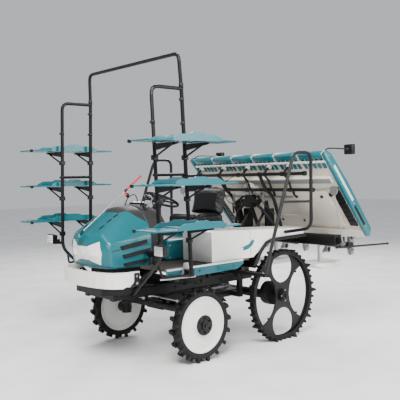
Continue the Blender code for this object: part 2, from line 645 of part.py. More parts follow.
def rear_wheel(side, label, paint):
    """A narrow paddy wheel: a rubbered ring with paddles, and a four-armed spider."""
    x = side * REAR_HALF_TRACK
    z = REAR_RING_RADIUS
    axle = joint_empty(f"rear_axle_end_{label}", (x, WHEELBASE, z), MACHINE)
    half = REAR_RING_WIDTH / 2
    inner = REAR_RING_RADIUS - 0.034
    ring = turned("ring", [(inner, -half), (REAR_RING_RADIUS, -half), (REAR_RING_RADIUS, half),
                           (inner, half)], (0, 0, 0), "X", 40)
    pieces = [ring]
    step = 2 * math.pi / REAR_LUG_COUNT
    for i in range(REAR_LUG_COUNT):
        angle = -math.pi / 2 + step * (i + 0.5)
        root, tip = REAR_RING_RADIUS - 0.030, REAR_WHEEL_RADIUS
        lug = hull("lug", [(sx * width / 2, radius, sz * depth / 2)
                           for radius, width, depth in ((root, 0.040, 0.060), (tip, REAR_LUG_WIDTH, 0.016))
                           for sx in (-1, 1) for sz in (-1, 1)])
        lug.data.transform(Matrix.Rotation(angle, 4, "X"))
        pieces.append(lug)
    wheel = fused("ring", pieces)
    wheel.data.transform(Matrix.Translation((x, WHEELBASE, z)))
    finish(wheel, f"rear_tyre_{label}", paint["rubber"], axle)
    reach = inner * math.cos(math.pi / 40) - 0.001
    spider = rod("spider", (-SPIDER_THICKNESS / 2, 0, 0), (SPIDER_THICKNESS / 2, 0, 0), reach, 80)
    windows = []
    for sign in (-1, 1):
        end_z = sign * END_WINDOW_OFFSET
        side_y = sign * SIDE_WINDOW_OFFSET
        windows.append(rod("window", (-0.05, 0, end_z), (0.05, 0, end_z), END_WINDOW_RADIUS, 48))
        windows.append(rod("window", (-0.05, side_y, 0), (0.05, side_y, 0), SIDE_WINDOW_RADIUS, 64))
    spider = cut(spider, windows)
    hub = rod("hub", (-0.035, 0, 0), (0.035, 0, 0), 0.060, 24)
    spider = fused("spider", [spider, hub])
    spider.data.transform(Matrix.Translation((x, WHEELBASE, z)))
    finish(spider, f"rear_spider_{label}", paint["black"], axle)


# ---- seedling racks, hoop and guard loops ----------------------------------------------------------------
def racks(paint):
    """The posts with their shelf arms, the hoop over the machine and the spare-seedling shelves."""
    front_top = post_point(RACK_FRONT_Y, RACK_TOP)
    rear_top = post_point(RACK_REAR_Y, RACK_TOP)
    pieces = [
        tube("front", [(RAIL_HALF_SPAN + 0.042, -0.440, 0.605), post_point(RACK_FRONT_Y, RACK_BEND_Z),
                       front_top, rear_top], RACK_TUBE_RADIUS, 0.070),
        tube("rear", [post_point(RACK_REAR_Y, 0.790), post_point(RACK_REAR_Y, RACK_TOP + 0.020)],
             RACK_POST_RADIUS),
        tube("cross", [post_point(RACK_FRONT_Y, RACK_CROSS_Z), post_point(RACK_REAR_Y, RACK_CROSS_Z)],
             RACK_TUBE_RADIUS * 0.8),
        tube("step_bar", [(0.700, -0.530, 0.908), (0.735, -0.500, 0.805), post_point(RACK_REAR_Y, 0.805)],
             0.011, 0.020),
        box("step_tab", (DECK_HALF_WIDTH + SKIRT_THICKNESS + 2 * TOUCH, RACK_REAR_Y - 0.030, 0.785),
            (RACK_X + 0.010, RACK_REAR_Y + 0.030, 0.845)),
    ]
    for level in SHELF_LEVELS.values():
        for y in (RACK_FRONT_Y, RACK_REAR_Y):
            x, _, _ = post_point(y, level)
            gusset = [(x - 0.004, level - 0.062), (x - 0.004, level - 0.004), (x + 0.300, level - 0.004),
                      (x + 0.300, level - 0.018)]
            pieces.append(plate("gusset", gusset, 0.016, "Y", y))
    y, z = -0.590, 1.030
    x = RACK_X + 0.075
    arm_rear = RACK_FRONT_Y + 0.008
    pieces.append(box("lamp", (x - 0.035, y - 0.030, z - 0.030), (x + 0.065, y + 0.015, z + 0.045), 0.006))
    pieces.append(box("lamp_arm", (RACK_X - 0.010, arm_rear - 0.016, z - 0.045),
                      (x + 0.010, arm_rear, z - 0.020)))
    pieces.append(box("lamp_foot", (x - 0.010, y - 0.010, z - 0.045), (x + 0.010, arm_rear, z)))
    left = fused("rack_left", pieces)
    right = mirrored("rack_right", left)
    finish(left, "rack_left", paint["black"], MACHINE)
    finish(right, "rack_right", paint["black"], MACHINE)
    foot = post_point(RACK_REAR_Y, RACK_TOP + 0.024)
    corner = post_point(RACK_REAR_Y - 0.010, HOOP_TOP)
    hoop = tube("hoop", [foot, corner, (-corner[0], corner[1], corner[2]), (-foot[0], foot[1], foot[2])],
                RACK_TUBE_RADIUS, 0.060)
    finish(hoop, "hoop", paint["black"], MACHINE)
    for label, level in SHELF_LEVELS.items():
        inner = post_point(0, level)[0] + RACK_TUBE_RADIUS + SHELF_INNER
        low = level
        rear = SHELF_FRONT + SHELF_LENGTH
        outline = [(inner + 0.03, SHELF_FRONT), (inner + SHELF_WIDTH - 0.04, SHELF_FRONT),
                   (inner + SHELF_WIDTH, SHELF_FRONT + 0.200), (inner + SHELF_WIDTH, rear - 0.200),
                   (inner + SHELF_WIDTH - 0.04, rear), (inner + 0.03, rear), (inner, rear - 0.200),
                   (inner, SHELF_FRONT + 0.200)]
        parts = [plate("base", outline, SHELF_PLATE, "Z", low + SHELF_PLATE / 2)]
        lip = [(SHELF_FRONT + 0.20, low + 0.002), (rear - 0.20, low + 0.002), (rear - 0.200, low + 0.024),
               (rear - 0.260, low + SHELF_LIP), (SHELF_FRONT + 0.260, low + SHELF_LIP),
               (SHELF_FRONT + 0.200, low + 0.024)]
        for x in (inner + 0.006, inner + SHELF_WIDTH - 0.006):
            parts.append(plate("lip", lip, 0.012, "X", x))
        for y in (SHELF_FRONT + 0.260, rear - 0.260):
            parts.append(box("rib", (inner + 0.004, y - 0.006, low + 0.002),
                             (inner + SHELF_WIDTH - 0.004, y + 0.006, low + 0.024)))
        shelf = fused("shelf", parts)
        other = mirrored("shelf", shelf)
        finish(shelf, f"{label}_shelf_left", paint["teal"], MACHINE, smooth=False)
        finish(other, f"{label}_shelf_right", paint["teal"], MACHINE, smooth=False)


def guards(paint):
    """A leaning tube loop on each side of the rear deck."""
    for side, label in ((1, "left"), (-1, "right")):
        x = side * GUARD_X
        loop = tube("loop", [(x, 0.400, RAIL_TOP + 0.129), (x, 0.800, GUARD_TOP),
                             (x, 1.045, GUARD_TOP), (x, 1.035, 1.110), (side * 0.700, 1.035, 1.060)],
                    GUARD_TUBE_RADIUS, 0.080)
        bar = tube("bar", [(x, 0.645, 1.370), (x, 1.040, 1.360)], 0.011)
        finish(fused("guard", [loop, bar]), f"side_guard_{label}", paint["black"], MACHINE)


def sight_rod(paint):
    """The folding rod that the operator steers by; its clevis sits on the hood's nose."""
    place = (0, -0.835, 1.125)
    pivot = joint_empty("sight_rod_hinge", place, bpy.data.objects["hood_hinge"])
    tip = (0, -0.150, 1.630)
    pieces = [rod("bar", place, tip, 0.006, 10),
              rod("pin", (-0.018, *place[1:]), (0.018, *place[1:]), 0.008, 12)]
    finish(fused("sight_rod", pieces), "sight_rod", paint["steel"], pivot)


# ---- lift linkage ----------------------------------------------------------------------------------------
def lift_linkage(paint):
    """The parallel links that carry the planting unit, and their cylinder."""
    low, end = LIFT_LOWER_PIVOT, LIFT_LOWER_END
    lift = joint_empty("lift_lower_axis", (0, *low), MACHINE)
    arms = []
    for side in (-1, 1):
        x = side * LIFT_HALF_SPAN
        arms.append(rod("arm", (x, *low), (x, *end), LIFT_BAR / 2, 12))
        for y, z in (low, end):
            arms.append(rod("eye", (x - side * 0.020, y, z), (x + side * 0.020, y, z), 0.030, 18))
    third = [low[0] + (end[0] - low[0]) * 0.45, low[1] + (end[1] - low[1]) * 0.45]
    arms.append(rod("brace", (-LIFT_HALF_SPAN, *third), (LIFT_HALF_SPAN, *third), 0.014, 12))
    finish(fused("lower_link", arms), "lower_link", paint["black"], lift)
    dy, dz = LIFT_UPPER_OFFSET
    upper_low, upper_end = (low[0] + dy, low[1] + dz), (end[0] + dy, end[1] + dz)
    upper = joint_empty("lift_upper_axis", (0, *upper_low), MACHINE)
    arms = []
    for side in (-1, 1):
        x = side * LIFT_HALF_SPAN
        arms.append(rod("arm", (x, *upper_low), (x, *upper_end), LIFT_BAR / 2 - 0.003, 12))
        for y, z in (upper_low, upper_end):
            arms.append(rod("eye", (x - side * 0.018, y, z), (x + side * 0.018, y, z), 0.028, 18))
    third_up = [upper_low[0] + (upper_end[0] - upper_low[0]) * 0.45,
                upper_low[1] + (upper_end[1] - upper_low[1]) * 0.45]
    arms.append(rod("brace", (-LIFT_HALF_SPAN, *third_up), (LIFT_HALF_SPAN, *third_up), 0.012, 12))
    finish(fused("upper_link", arms), "upper_link", paint["black"], upper)
    share = 0.45
    foot = (aft(LIFT_BARREL_OFFSET), 0.920)
    eye = (upper_low[0] + (upper_end[0] - upper_low[0]) * share,
           upper_low[1] + (upper_end[1] - upper_low[1]) * share)
    along = Vector((0, eye[0] - foot[0], eye[1] - foot[1])).normalized()
    start, stop = Vector((0, *foot)), Vector((0, *eye))
    barrel_axis = joint_empty("lift_barrel_axis", start, MACHINE)
    barrel = fused("lift_barrel", [rod("barrel", start, start + along * 0.260, 0.026, 18),
                                   rod("eye", (-0.022, *foot), (0.022, *foot), 0.026, 16)])
    barrel = cut(barrel, [rod("bore", start + along * 0.050, start + along * 0.300, 0.0145, 18)])
    finish(barrel, "lift_barrel", paint["iron"], barrel_axis)
    rod_axis = joint_empty("lift_rod_axis", stop, barrel_axis)
    ram = rod("lift_ram", start + along * 0.070, stop - along * 0.018, 0.013, 16)
    finish(ram, "lift_ram", paint["steel"], rod_axis)


# ---- planting unit ---------------------------------------------------------------------------------------
def board_point(share, lift=0.0):
    """A point (Y, Z) on the seedling board, from its top edge down, and up off its upper face."""
    (y0, z0), (y1, z1) = PLATFORM_TOP, PLATFORM_BOTTOM
    length = math.hypot(y1 - y0, z1 - z0)
    down = ((y1 - y0) / length, (z1 - z0) / length)
    up = (-down[1], down[0])
    return (y0 + down[0] * length * share + up[0] * lift, z0 + down[1] * length * share + up[1] * lift)


def planting_frame(paint, carrier):
    """The black tube frame, the three planting cases and the end guards."""
    end_y, end_z = LIFT_LOWER_END
    up_z = end_z + LIFT_UPPER_OFFSET[1]
    beam_y, beam_z = PLANTING_BEAM_Y, PLANTING_BEAM_Z
    pieces = [box("beam", (-1.050, beam_y - 0.030, beam_z - 0.030), (1.050, beam_y + 0.030, beam_z + 0.030))]
    for side in (-1, 1):
        x = side * (LIFT_HALF_SPAN + 0.045)
        pieces.append(box("cheek", (x - 0.008, end_y - 0.035, beam_z - 0.020), (x + 0.008, beam_y + 0.010,
                                                                     up_z + 0.035)))
        for y, z in ((end_y, end_z), (end_y, up_z)):
            pieces.append(rod("pin", (side * (LIFT_HALF_SPAN + 0.024), y, z), (x, y, z), 0.012, 12))
        mast_x = side * 0.300
        pieces.append(tube("mast", [(mast_x, beam_y, beam_z), (mast_x, aft(0.258), 1.380),
                                    (mast_x, aft(0.128), 1.480), (mast_x, aft(0.048), 1.620)], 0.018, 0.05))
        rod_x = side * GUARD_ROD_X
        pieces.append(tube("guard", [(rod_x, aft(0.188), 0.915), (rod_x, aft(1.068), 0.880)],
                           0.010))
        pieces.append(box("end", (min(side * 1.040, side * (GUARD_ROD_X + 0.004)), beam_y - 0.025,
                                  beam_z - 0.070), (max(side * 1.040, side * (GUARD_ROD_X + 0.004)),
                                                    beam_y + 0.025, beam_z - 0.010)))
    pieces.append(rod("upper_tube", (-0.900, aft(0.048), 1.620), (0.900, aft(0.048), 1.620), 0.017, 12))
    pieces.append(rod("lower_tube", (-0.900, aft(0.168), 1.460), (0.900, aft(0.168), 1.460), 0.017, 12))
    for x in (-0.300, 0.300):
        pieces.append(box("tie", (x - 0.010, aft(0.128), 1.440), (x + 0.010, aft(0.218), 1.480)))
    axis_y, axis_z = ROTOR_AXIS
    for x in (-2 * ROW_PITCH, 0.0, 2 * ROW_PITCH):
        case = hull("case", [(x + sx * 0.036, y, z) for sx in (-1, 1) for y, z in (
            (beam_y, beam_z - 0.050), (beam_y, beam_z + 0.045), (axis_y, axis_z - 0.048),
            (axis_y, axis_z + 0.048), (axis_y + 0.045, axis_z - 0.02), (axis_y + 0.045, axis_z + 0.02))])
        pieces.append(case)
    frame = fused("planting_frame", pieces)
    bores = [rod("bore", (x - 0.060, axis_y, axis_z), (x + 0.060, axis_y, axis_z), 0.0165, 16)
             for x in (-2 * ROW_PITCH, 0.0, 2 * ROW_PITCH)]
    frame = cut(frame, bores)
    finish(frame, "planting_frame", paint["black"], carrier)


def rotors(paint, carrier):
    """Three shafts, each with a planting rotor at both ends."""
    axis = joint_empty("rotor_axis", (0, *ROTOR_AXIS), carrier)
    y, z = ROTOR_AXIS
    for x, label in ((2 * ROW_PITCH, "left"), (0.0, "centre"), (-2 * ROW_PITCH, "right")):
        pieces = [rod("shaft", (x - 0.160, y, z), (x + 0.160, y, z), 0.0145, 14)]
        for side in (-1, 1):
            arm_x = x + side * ROW_PITCH / 2
            outline = arc((y, z + 0.075), 0.036, 0, 180, 6) + arc((y, z - 0.075), 0.036, 180, 360, 6)
            pieces.append(plate("rotor", outline, 0.036, "X", arm_x))
            for turn in (-1, 1):
                tip = (y + turn * 0.060, z + turn * 0.105)
                claw = [(y - turn * 0.010, z + turn * 0.058), (y + turn * 0.030, z + turn * 0.062), tip,
                        (y + turn * 0.050, z + turn * 0.112), (y - turn * 0.005, z + turn * 0.096)]
                pieces.append(plate("claw", claw, 0.020, "X", arm_x + side * 0.024))
        finish(fused("rotor", pieces), f"planting_rotors_{label}", paint["steel"], axis)


def seedling_platform(paint, carrier):
    """The sloping board with its lane dividers, end frames and top tabs; it slides from side to side."""
    slide = joint_empty("platform_slide", (PLATFORM_SHIFT, *board_point(0.5)), carrier)
    half = PLATFORM_HALF_WIDTH - 0.030
    board = [board_point(0, 0), board_point(1, 0), board_point(1, BOARD_THICKNESS),
             board_point(0, BOARD_THICKNESS)]
    pieces = [plate("board", board, 2 * half, "X", PLATFORM_SHIFT)]
    lane = [board_point(0.03, 0.004), board_point(0.985, 0.004),
            board_point(0.985, BOARD_THICKNESS + DIVIDER_HEIGHT * 0.7),
            board_point(0.93, BOARD_THICKNESS + DIVIDER_HEIGHT),
            board_point(0.08, BOARD_THICKNESS + DIVIDER_HEIGHT), board_point(0.03, BOARD_THICKNESS)]
    for i in range(1, ROWS):
        pieces.append(plate("divider", lane, 0.012, "X", PLATFORM_SHIFT + (i - ROWS / 2) * ROW_PITCH))
    side_outline = [board_point(-0.01, -0.020), board_point(1.02, -0.020), board_point(1.05, 0.010),
                    board_point(1.00, 0.075), board_point(0.40, 0.085), board_point(0.05, 0.060),
                    board_point(-0.01, 0.030)]
    for side in (-1, 1):
        pieces.append(plate("end", side_outline, 0.034, "X", PLATFORM_SHIFT + side * (half + 0.012)))
    rail = [board_point(0.955, -0.018), board_point(1.045, -0.018), board_point(1.045, 0.004),
            board_point(0.955, 0.004)]
    pieces.append(plate("lower_rail", rail, 2 * half, "X", PLATFORM_SHIFT))
    alu = [board_point(0.26, -0.045), board_point(0.32, -0.045), board_point(0.32, 0.004),
           board_point(0.26, 0.004)]
    pieces.append(plate("upper_rail", alu, 2 * half - 0.06, "X", PLATFORM_SHIFT))
    finish(fused("platform", pieces), "seedling_platform", paint["cream"], slide, smooth=False)


def floats(paint, carrier):
    """Three white floats, each on a strut from the planting case above it."""
    side_front = aft(0.428)
    for x, label, width, front in ((2 * ROW_PITCH, "left", 0.30, side_front),
                                   (0.0, "centre", 0.26, aft(0.258)),
                                   (-2 * ROW_PITCH, "right", 0.30, side_front)):
        rear = aft(0.848)
        low, high = FLOAT_BOTTOM, FLOAT_BOTTOM + FLOAT_HEIGHT
        body = hull("float", [(x + sx * w / 2, y, z) for sx in (-1, 1) for y, z, w in (
            (front, high - 0.02, width * 0.6), (front + 0.02, high, width * 0.7),
            (front + 0.09, low, width * 0.9), (front + 0.09, high, width), (rear - 0.04, low, width),
            (rear, low + 0.02, width * 0.9), (rear, high, width * 0.9))], 0.012, 1)
        strut_y = aft(0.628)
        share = (strut_y - PLANTING_BEAM_Y) / (ROTOR_AXIS[0] - PLANTING_BEAM_Y)
        case_low, case_end = PLANTING_BEAM_Z - 0.050, ROTOR_AXIS[1] - 0.048
        top = case_low + share * (case_end - case_low) - 0.004
        strut = box("strut", (x - 0.015, strut_y - 0.025, high - 0.01), (x + 0.015, strut_y + 0.02, top))
        finish(fused("float", [body, strut]), f"float_{label}", paint["white"], carrier)


def markers(paint, carrier):
    """The two line markers, folded up beside the platform on pivots at the beam's ends."""
    rear = PLANTING_BEAM_Y - 0.030 - TOUCH
    for side, label in ((1, "left"), (-1, "right")):
        x = side * 1.085
        place = (x, rear - 0.013, MARKER_Z)
        pivot = joint_empty(f"marker_axis_{label}", place, carrier)
        tip = (side * 1.100, rear - 0.170, MARKER_Z + MARKER_LENGTH)
        pieces = [rod("hub", (x, rear - 0.026, MARKER_Z), (x, rear, MARKER_Z), 0.022, 16),
                  rod("arm", (x, rear - 0.016, MARKER_Z), tip, 0.007, 8)]
        wheel = rod("wheel", (tip[0], tip[1] - 0.004, tip[2]), (tip[0], tip[1] + 0.004, tip[2]), 0.045, 12)
        finish(fused("marker", pieces + [wheel]), f"line_marker_{label}", paint["steel"], pivot)


# ---- the whole machine -----------------------------------------------------------------------------------
def build():
    """Model every sub-part under its parent empty."""
    paint = finishes()
    chassis_frame(paint)
    drive_train(paint)
    deck(paint)
    seat(paint)
    front_body(paint)
    steering(paint)
    for side, label in ((1, "left"), (-1, "right")):
        front_wheel(side, label, paint)
        rear_wheel(side, label, paint)
    racks(paint)
    guards(paint)
    sight_rod(paint)
    lift_linkage(paint)
    lift = bpy.data.objects["lift_lower_axis"]
    carrier = joint_empty("planting_axis", (0, *LIFT_LOWER_END), lift)
    planting_frame(paint, carrier)
    rotors(paint, carrier)
    seedling_platform(paint, carrier)
    floats(paint, carrier)
    markers(paint, carrier)


clear_scene()
COLLECTION = bpy.data.collections.new("rice_transplanter")
bpy.context.scene.collection.children.link(COLLECTION)
MACHINE = bpy.data.objects.new("machine", None)
MACHINE.location = (0, FRONT_AXLE_Y, 0)
COLLECTION.objects.link(MACHINE)
bpy.context.view_layer.update()
build()
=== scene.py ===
"""Looks of a riding rice transplanter: finishes, trim, tread, soft seat, studio and camera.

Every piece added here rides on a body of the machine and keeps its place in its own mesh.
Lengths are metres, -Y is the front of the machine, +X its left side and +Z up.
"""

import json
import logging
import math
from dataclasses import dataclass, field
from enum import Enum
from typing import Iterable, Sequence

import bmesh
import bpy
from mathutils import Matrix, Vector


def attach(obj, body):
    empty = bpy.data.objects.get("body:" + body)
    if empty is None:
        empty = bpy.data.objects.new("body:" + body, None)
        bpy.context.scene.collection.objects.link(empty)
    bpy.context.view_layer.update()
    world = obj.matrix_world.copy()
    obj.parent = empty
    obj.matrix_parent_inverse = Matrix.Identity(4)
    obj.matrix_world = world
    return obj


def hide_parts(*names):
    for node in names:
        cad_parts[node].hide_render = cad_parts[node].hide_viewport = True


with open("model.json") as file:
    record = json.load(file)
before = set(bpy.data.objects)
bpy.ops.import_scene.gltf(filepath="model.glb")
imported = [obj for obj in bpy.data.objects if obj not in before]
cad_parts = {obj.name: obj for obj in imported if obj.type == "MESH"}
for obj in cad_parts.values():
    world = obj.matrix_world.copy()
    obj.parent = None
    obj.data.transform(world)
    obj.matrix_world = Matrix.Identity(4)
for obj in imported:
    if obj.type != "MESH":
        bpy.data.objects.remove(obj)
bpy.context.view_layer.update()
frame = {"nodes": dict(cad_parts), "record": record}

LOG = logging.getLogger("rice_transplanter")
SIDES = (("left", 1), ("right", -1))
Point = Sequence[float]

AXLE_Y = -0.651


def at(x: float, y: float, z: float) -> Vector:
    """Turns a place measured from the front axle into a place in the machine's frame.

    Args:
        x: metres to the left of the middle.
        y: metres behind the front axle.
        z: metres above the ground.

    Returns:
        The same place in the machine's frame.
    """
    return Vector((x, y + AXLE_Y, z))


# ---- shader toolkit --------------------------------------------------------------------------------------
class Socket:
    """A node's output that takes part in sums and products."""

    def __init__(self, graph: "Graph", socket: bpy.types.NodeSocket) -> None:
        """Wraps one output.

        Args:
            graph: the graph that the output belongs to.
            socket: the output itself.
        """
        self.graph = graph
        self.socket = socket

    def _math(self, operation: str, first: object, second: object) -> "Socket":
        """Adds one Math node.

        Args:
            operation: the Math node's operation.
            first: the upper value, a number or a Socket.
            second: the lower value, a number or a Socket.

        Returns:
            The node's result.
        """
        return self.graph.node("ShaderNodeMath", {"operation": operation}, {0: first, 1: second})

    def __add__(self, other: object) -> "Socket":
        """Makes this plus other.

        Args:
            other: a number or another output.

        Returns:
            The node's result.
        """
        return self._math("ADD", self, other)

    def __radd__(self, other: object) -> "Socket":
        """Makes other plus this.

        Args:
            other: a number or another output.

        Returns:
            The node's result.
        """
        return self._math("ADD", other, self)

    def __rsub__(self, other: object) -> "Socket":
        """Makes other less this.

        Args:
            other: a number or another output.

        Returns:
            The node's result.
        """
        return self._math("SUBTRACT", other, self)

    def __mul__(self, other: object) -> "Socket":
        """Makes this times other.

        Args:
            other: a number or another output.

        Returns:
            The node's result.
        """
        return self._math("MULTIPLY", self, other)

    def ramp(self, low: float, high: float) -> "Socket":
        """Maps low..high smoothly onto nought..one.

        Args:
            low: the value that gives nought.
            high: the value that gives one.

        Returns:
            The mapped value, held between nought and one.
        """
        values = {"Value": self, "From Min": low, "From Max": high}
        return self.graph.node("ShaderNodeMapRange", {"interpolation_type": "SMOOTHSTEP"}, values)


class Graph:
    """The node graph of one material."""

    def __init__(self, name: str) -> None:
        """Starts an empty material.

        Args:
            name: the material's name.
        """
        self.material = bpy.data.materials.new(name)
        self.material.use_nodes = True
        self.tree = self.material.node_tree
        self.tree.nodes.clear()
        self.shader = self.tree.nodes.new("ShaderNodeBsdfPrincipled")
        output = self.tree.nodes.new("ShaderNodeOutputMaterial")
        self.tree.links.new(self.shader.outputs["BSDF"], output.inputs["Surface"])

    def node(self, kind: str, settings: dict[str, object], values: dict, out: object = 0) -> Socket:
        """Adds one node.

        Args:
            kind: the node's type.
            settings: properties to set on the node.
            values: numbers, colours or Sockets for its inputs, by name or number.
            out: the output to return, by name or number.

        Returns:
            The chosen output.
        """
        made = self.tree.nodes.new(kind)
        for key, value in settings.items():
            setattr(made, key, value)
        for key, value in values.items():
            self.feed(made.inputs[key], value)
        return Socket(self, made.outputs[out])

    def feed(self, entry: bpy.types.NodeSocket, value: object) -> None:
        """Links a Socket to an input, or sets a plain value on it.

        Args:
            entry: the input.
            value: a Socket, a number or a colour.
        """
        if isinstance(value, Socket):
            self.tree.links.new(value.socket, entry)
        else:
            entry.default_value = value

    def mix(self, share: object, first: object, second: object) -> Socket:
        """Mixes two colours.

        Args:
            share: how much of the second colour shows, nought to one.
            first: a colour or a Socket.
            second: a colour or a Socket.

        Returns:
            The mixed colour.
        """
        return self.node("ShaderNodeMix", {"data_type": "RGBA"}, {0: share, 6: first, 7: second}, 2)

    def place(self) -> Socket:
        """Adds the piece's own coordinates.

        Returns:
            The coordinates in metres.
        """
        return self.node("ShaderNodeTexCoord", {}, {}, "Object")

    def noise(self, scale: float, detail: float = 3.0, stretch: Point = (1, 1, 1)) -> Socket:
        """Adds a noise of the piece's own coordinates.

        Args:
            scale: lumps to the metre.
            detail: how many finer layers it has.
            stretch: how much closer it lies along X, Y and Z.

        Returns:
            The noise, about nought to one.
        """
        where = self.place()
        if tuple(stretch) != (1, 1, 1):
            where = self.node("ShaderNodeMapping", {}, {"Vector": where, "Scale": tuple(stretch)})
        return self.node("ShaderNodeTexNoise", {}, {"Vector": where, "Scale": scale, "Detail": detail})

    def bump(self, height: Socket, depth: float) -> None:
        """Raises the surface by a height.

        Args:
            height: nought to one over the surface.
            depth: metres at a height of one.
        """
        values = {"Height": height, "Distance": depth, "Strength": 1.0}
        self.feed(self.shader.inputs["Normal"], self.node("ShaderNodeBump", {}, values))


class Grain(Enum):
    """The fine relief of a finish."""

    PEEL = "sprayed paint"
    CAST = "rough casting"
    HIDE = "grained vinyl"
    LINES = "brushed lines"
    RUBBER = "moulded rubber"
    STUDS = "moulded studs"


def rgb(red: float, green: float, blue: float) -> tuple[float, float, float, float]:
    """Makes an opaque colour.

    Args:
        red: linear red.
        green: linear green.
        blue: linear blue.

    Returns:
        The four numbers that a colour socket takes.
    """
    return (red, green, blue, 1.0)


@dataclass(frozen=True)
class Finish:
    """One surface finish, from its colour down to its grain.

    Attributes:
        name: the finish's name.
        slot: the material slot of the record that it belongs to; not used.
        colour: the main colour.
        roughness: how dull it is.
        metallic: nought for paint and plastic, one for metal.
        coat: the weight of a clear coat.
        grain: the kind of fine relief.
        dust: how much pale dust lies on it.
        shine: how strongly it reflects at a glance.
    """

    name: str
    slot: str
    colour: tuple[float, float, float]
    roughness: float = 0.4
    metallic: float = 0.0
    coat: float = 0.0
    grain: Grain = Grain.PEEL
    dust: float = 0.12
    shine: float = 0.32

    def relief(self, graph: Graph) -> tuple[Socket, float]:
        """Builds the fine relief.

        Args:
            graph: the finish's graph.

        Returns:
            The height of the relief and its depth in metres.
        """
        if self.grain is Grain.PEEL:
            return graph.noise(260.0, 2.0), 0.00018
        if self.grain is Grain.CAST:
            return graph.noise(150.0, 5.0), 0.0012
        if self.grain is Grain.LINES:
            return graph.noise(40.0, 3.0, (1, 14, 14)), 0.0003
        if self.grain is Grain.RUBBER:
            return graph.noise(420.0, 3.0), 0.0005
        kind = "ShaderNodeTexVoronoi"
        scale = 330.0 if self.grain is Grain.HIDE else 95.0
        cells = graph.node(kind, {}, {"Vector": graph.place(), "Scale": scale}, "Distance")
        if self.grain is Grain.HIDE:
            return cells.ramp(0.05, 0.55) + graph.noise(30.0) * 0.5, 0.0006
        return 1.0 - cells.ramp(0.22, 0.34), 0.0012

    def build(self) -> bpy.types.Material:
        """Builds the finish's material once.

        Returns:
            The material.
        """
        ready = bpy.data.materials.get(self.name)
        if ready:
            return ready
        graph = Graph(self.name)
        broad = graph.noise(2.3, 4.0)
        fine = graph.noise(38.0, 5.0)
        speck = graph.noise(170.0, 4.0)
        main = rgb(*self.colour)
        deep = rgb(*(part * 0.72 for part in self.colour))
        pale = rgb(*(min(1.0, part * 0.8 + 0.17) for part in self.colour))
        colour = graph.mix(broad.ramp(0.35, 0.75) * 0.45, main, deep)
        dusty = (fine * broad).ramp(0.16, 0.42) * self.dust
        colour = graph.mix(dusty, colour, pale)
        colour = graph.mix(speck.ramp(0.66, 0.80) * self.dust, colour, rgb(0.34, 0.30, 0.25))
        graph.feed(graph.shader.inputs["Base Color"], colour)
        rough = self.roughness - 0.06 + fine * 0.14 + dusty * 0.5
        graph.feed(graph.shader.inputs["Roughness"], rough)
        graph.shader.inputs["Metallic"].default_value = self.metallic
        graph.shader.inputs["Coat Weight"].default_value = self.coat
        graph.shader.inputs["Coat Roughness"].default_value = 0.12
        graph.shader.inputs["Specular IOR Level"].default_value = self.shine
        height, depth = self.relief(graph)
        graph.bump(height, depth)
        return graph.material


class Finishes:
    """The finishes of the machine."""

    TEAL = Finish("teal paint", "teal_paint", (0.0008, 0.110, 0.135), 0.34, coat=0.30, dust=0.0)
    WHITE = Finish("white paint", "white_paint", (0.80, 0.785, 0.745), 0.36, coat=0.25, dust=0.04)
    CREAM = Finish("cream plastic", "cream_plastic", (0.66, 0.605, 0.520), 0.48, dust=0.06)
    BLACK = Finish("black paint", "black_paint", (0.0022, 0.0022, 0.0026), 0.42, dust=0.0)
    IRON = Finish("dark casting", "dark_casting", (0.0060, 0.0060, 0.0068), 0.50, 0.2, grain=Grain.CAST,
                  dust=0.0)
    RUBBER = Finish("tyre rubber", "tyre_rubber", (0.0030, 0.0030, 0.0033), 0.70, grain=Grain.RUBBER,
                    dust=0.01)
    FLOOR = Finish("floor mat", "floor_mat", (0.062, 0.047, 0.039), 0.76, grain=Grain.STUDS, dust=0.02)
    COWL = Finish("cowl plastic", "cowl_plastic", (0.022, 0.0205, 0.0195), 0.56, grain=Grain.RUBBER,
                  dust=0.02)
    VINYL = Finish("seat vinyl", "seat_vinyl", (0.0024, 0.0024, 0.0030), 0.46, grain=Grain.HIDE, dust=0.0)
    STEEL = Finish("bare steel", "bare_steel", (0.34, 0.34, 0.35), 0.36, 0.85, grain=Grain.LINES, dust=0.04)
    ALUMINIUM = Finish("grey aluminium", "bare_steel", (0.24, 0.25, 0.265), 0.42, 0.45, grain=Grain.LINES,
                       dust=0.03)
    RED = Finish("red plastic", "teal_paint", (0.52, 0.006, 0.010), 0.40, dust=0.0)
    LENS = Finish("lamp lens", "bare_steel", (0.80, 0.81, 0.82), 0.14, 0.15, coat=1.0, dust=0.02)
    LABEL = Finish("blank plate", "cream_plastic", (0.52, 0.53, 0.53), 0.4, dust=0.05)
    PALE = Finish("pale fitting", "cream_plastic", (0.50, 0.485, 0.46), 0.4, 0.2, grain=Grain.CAST, dust=0.05)


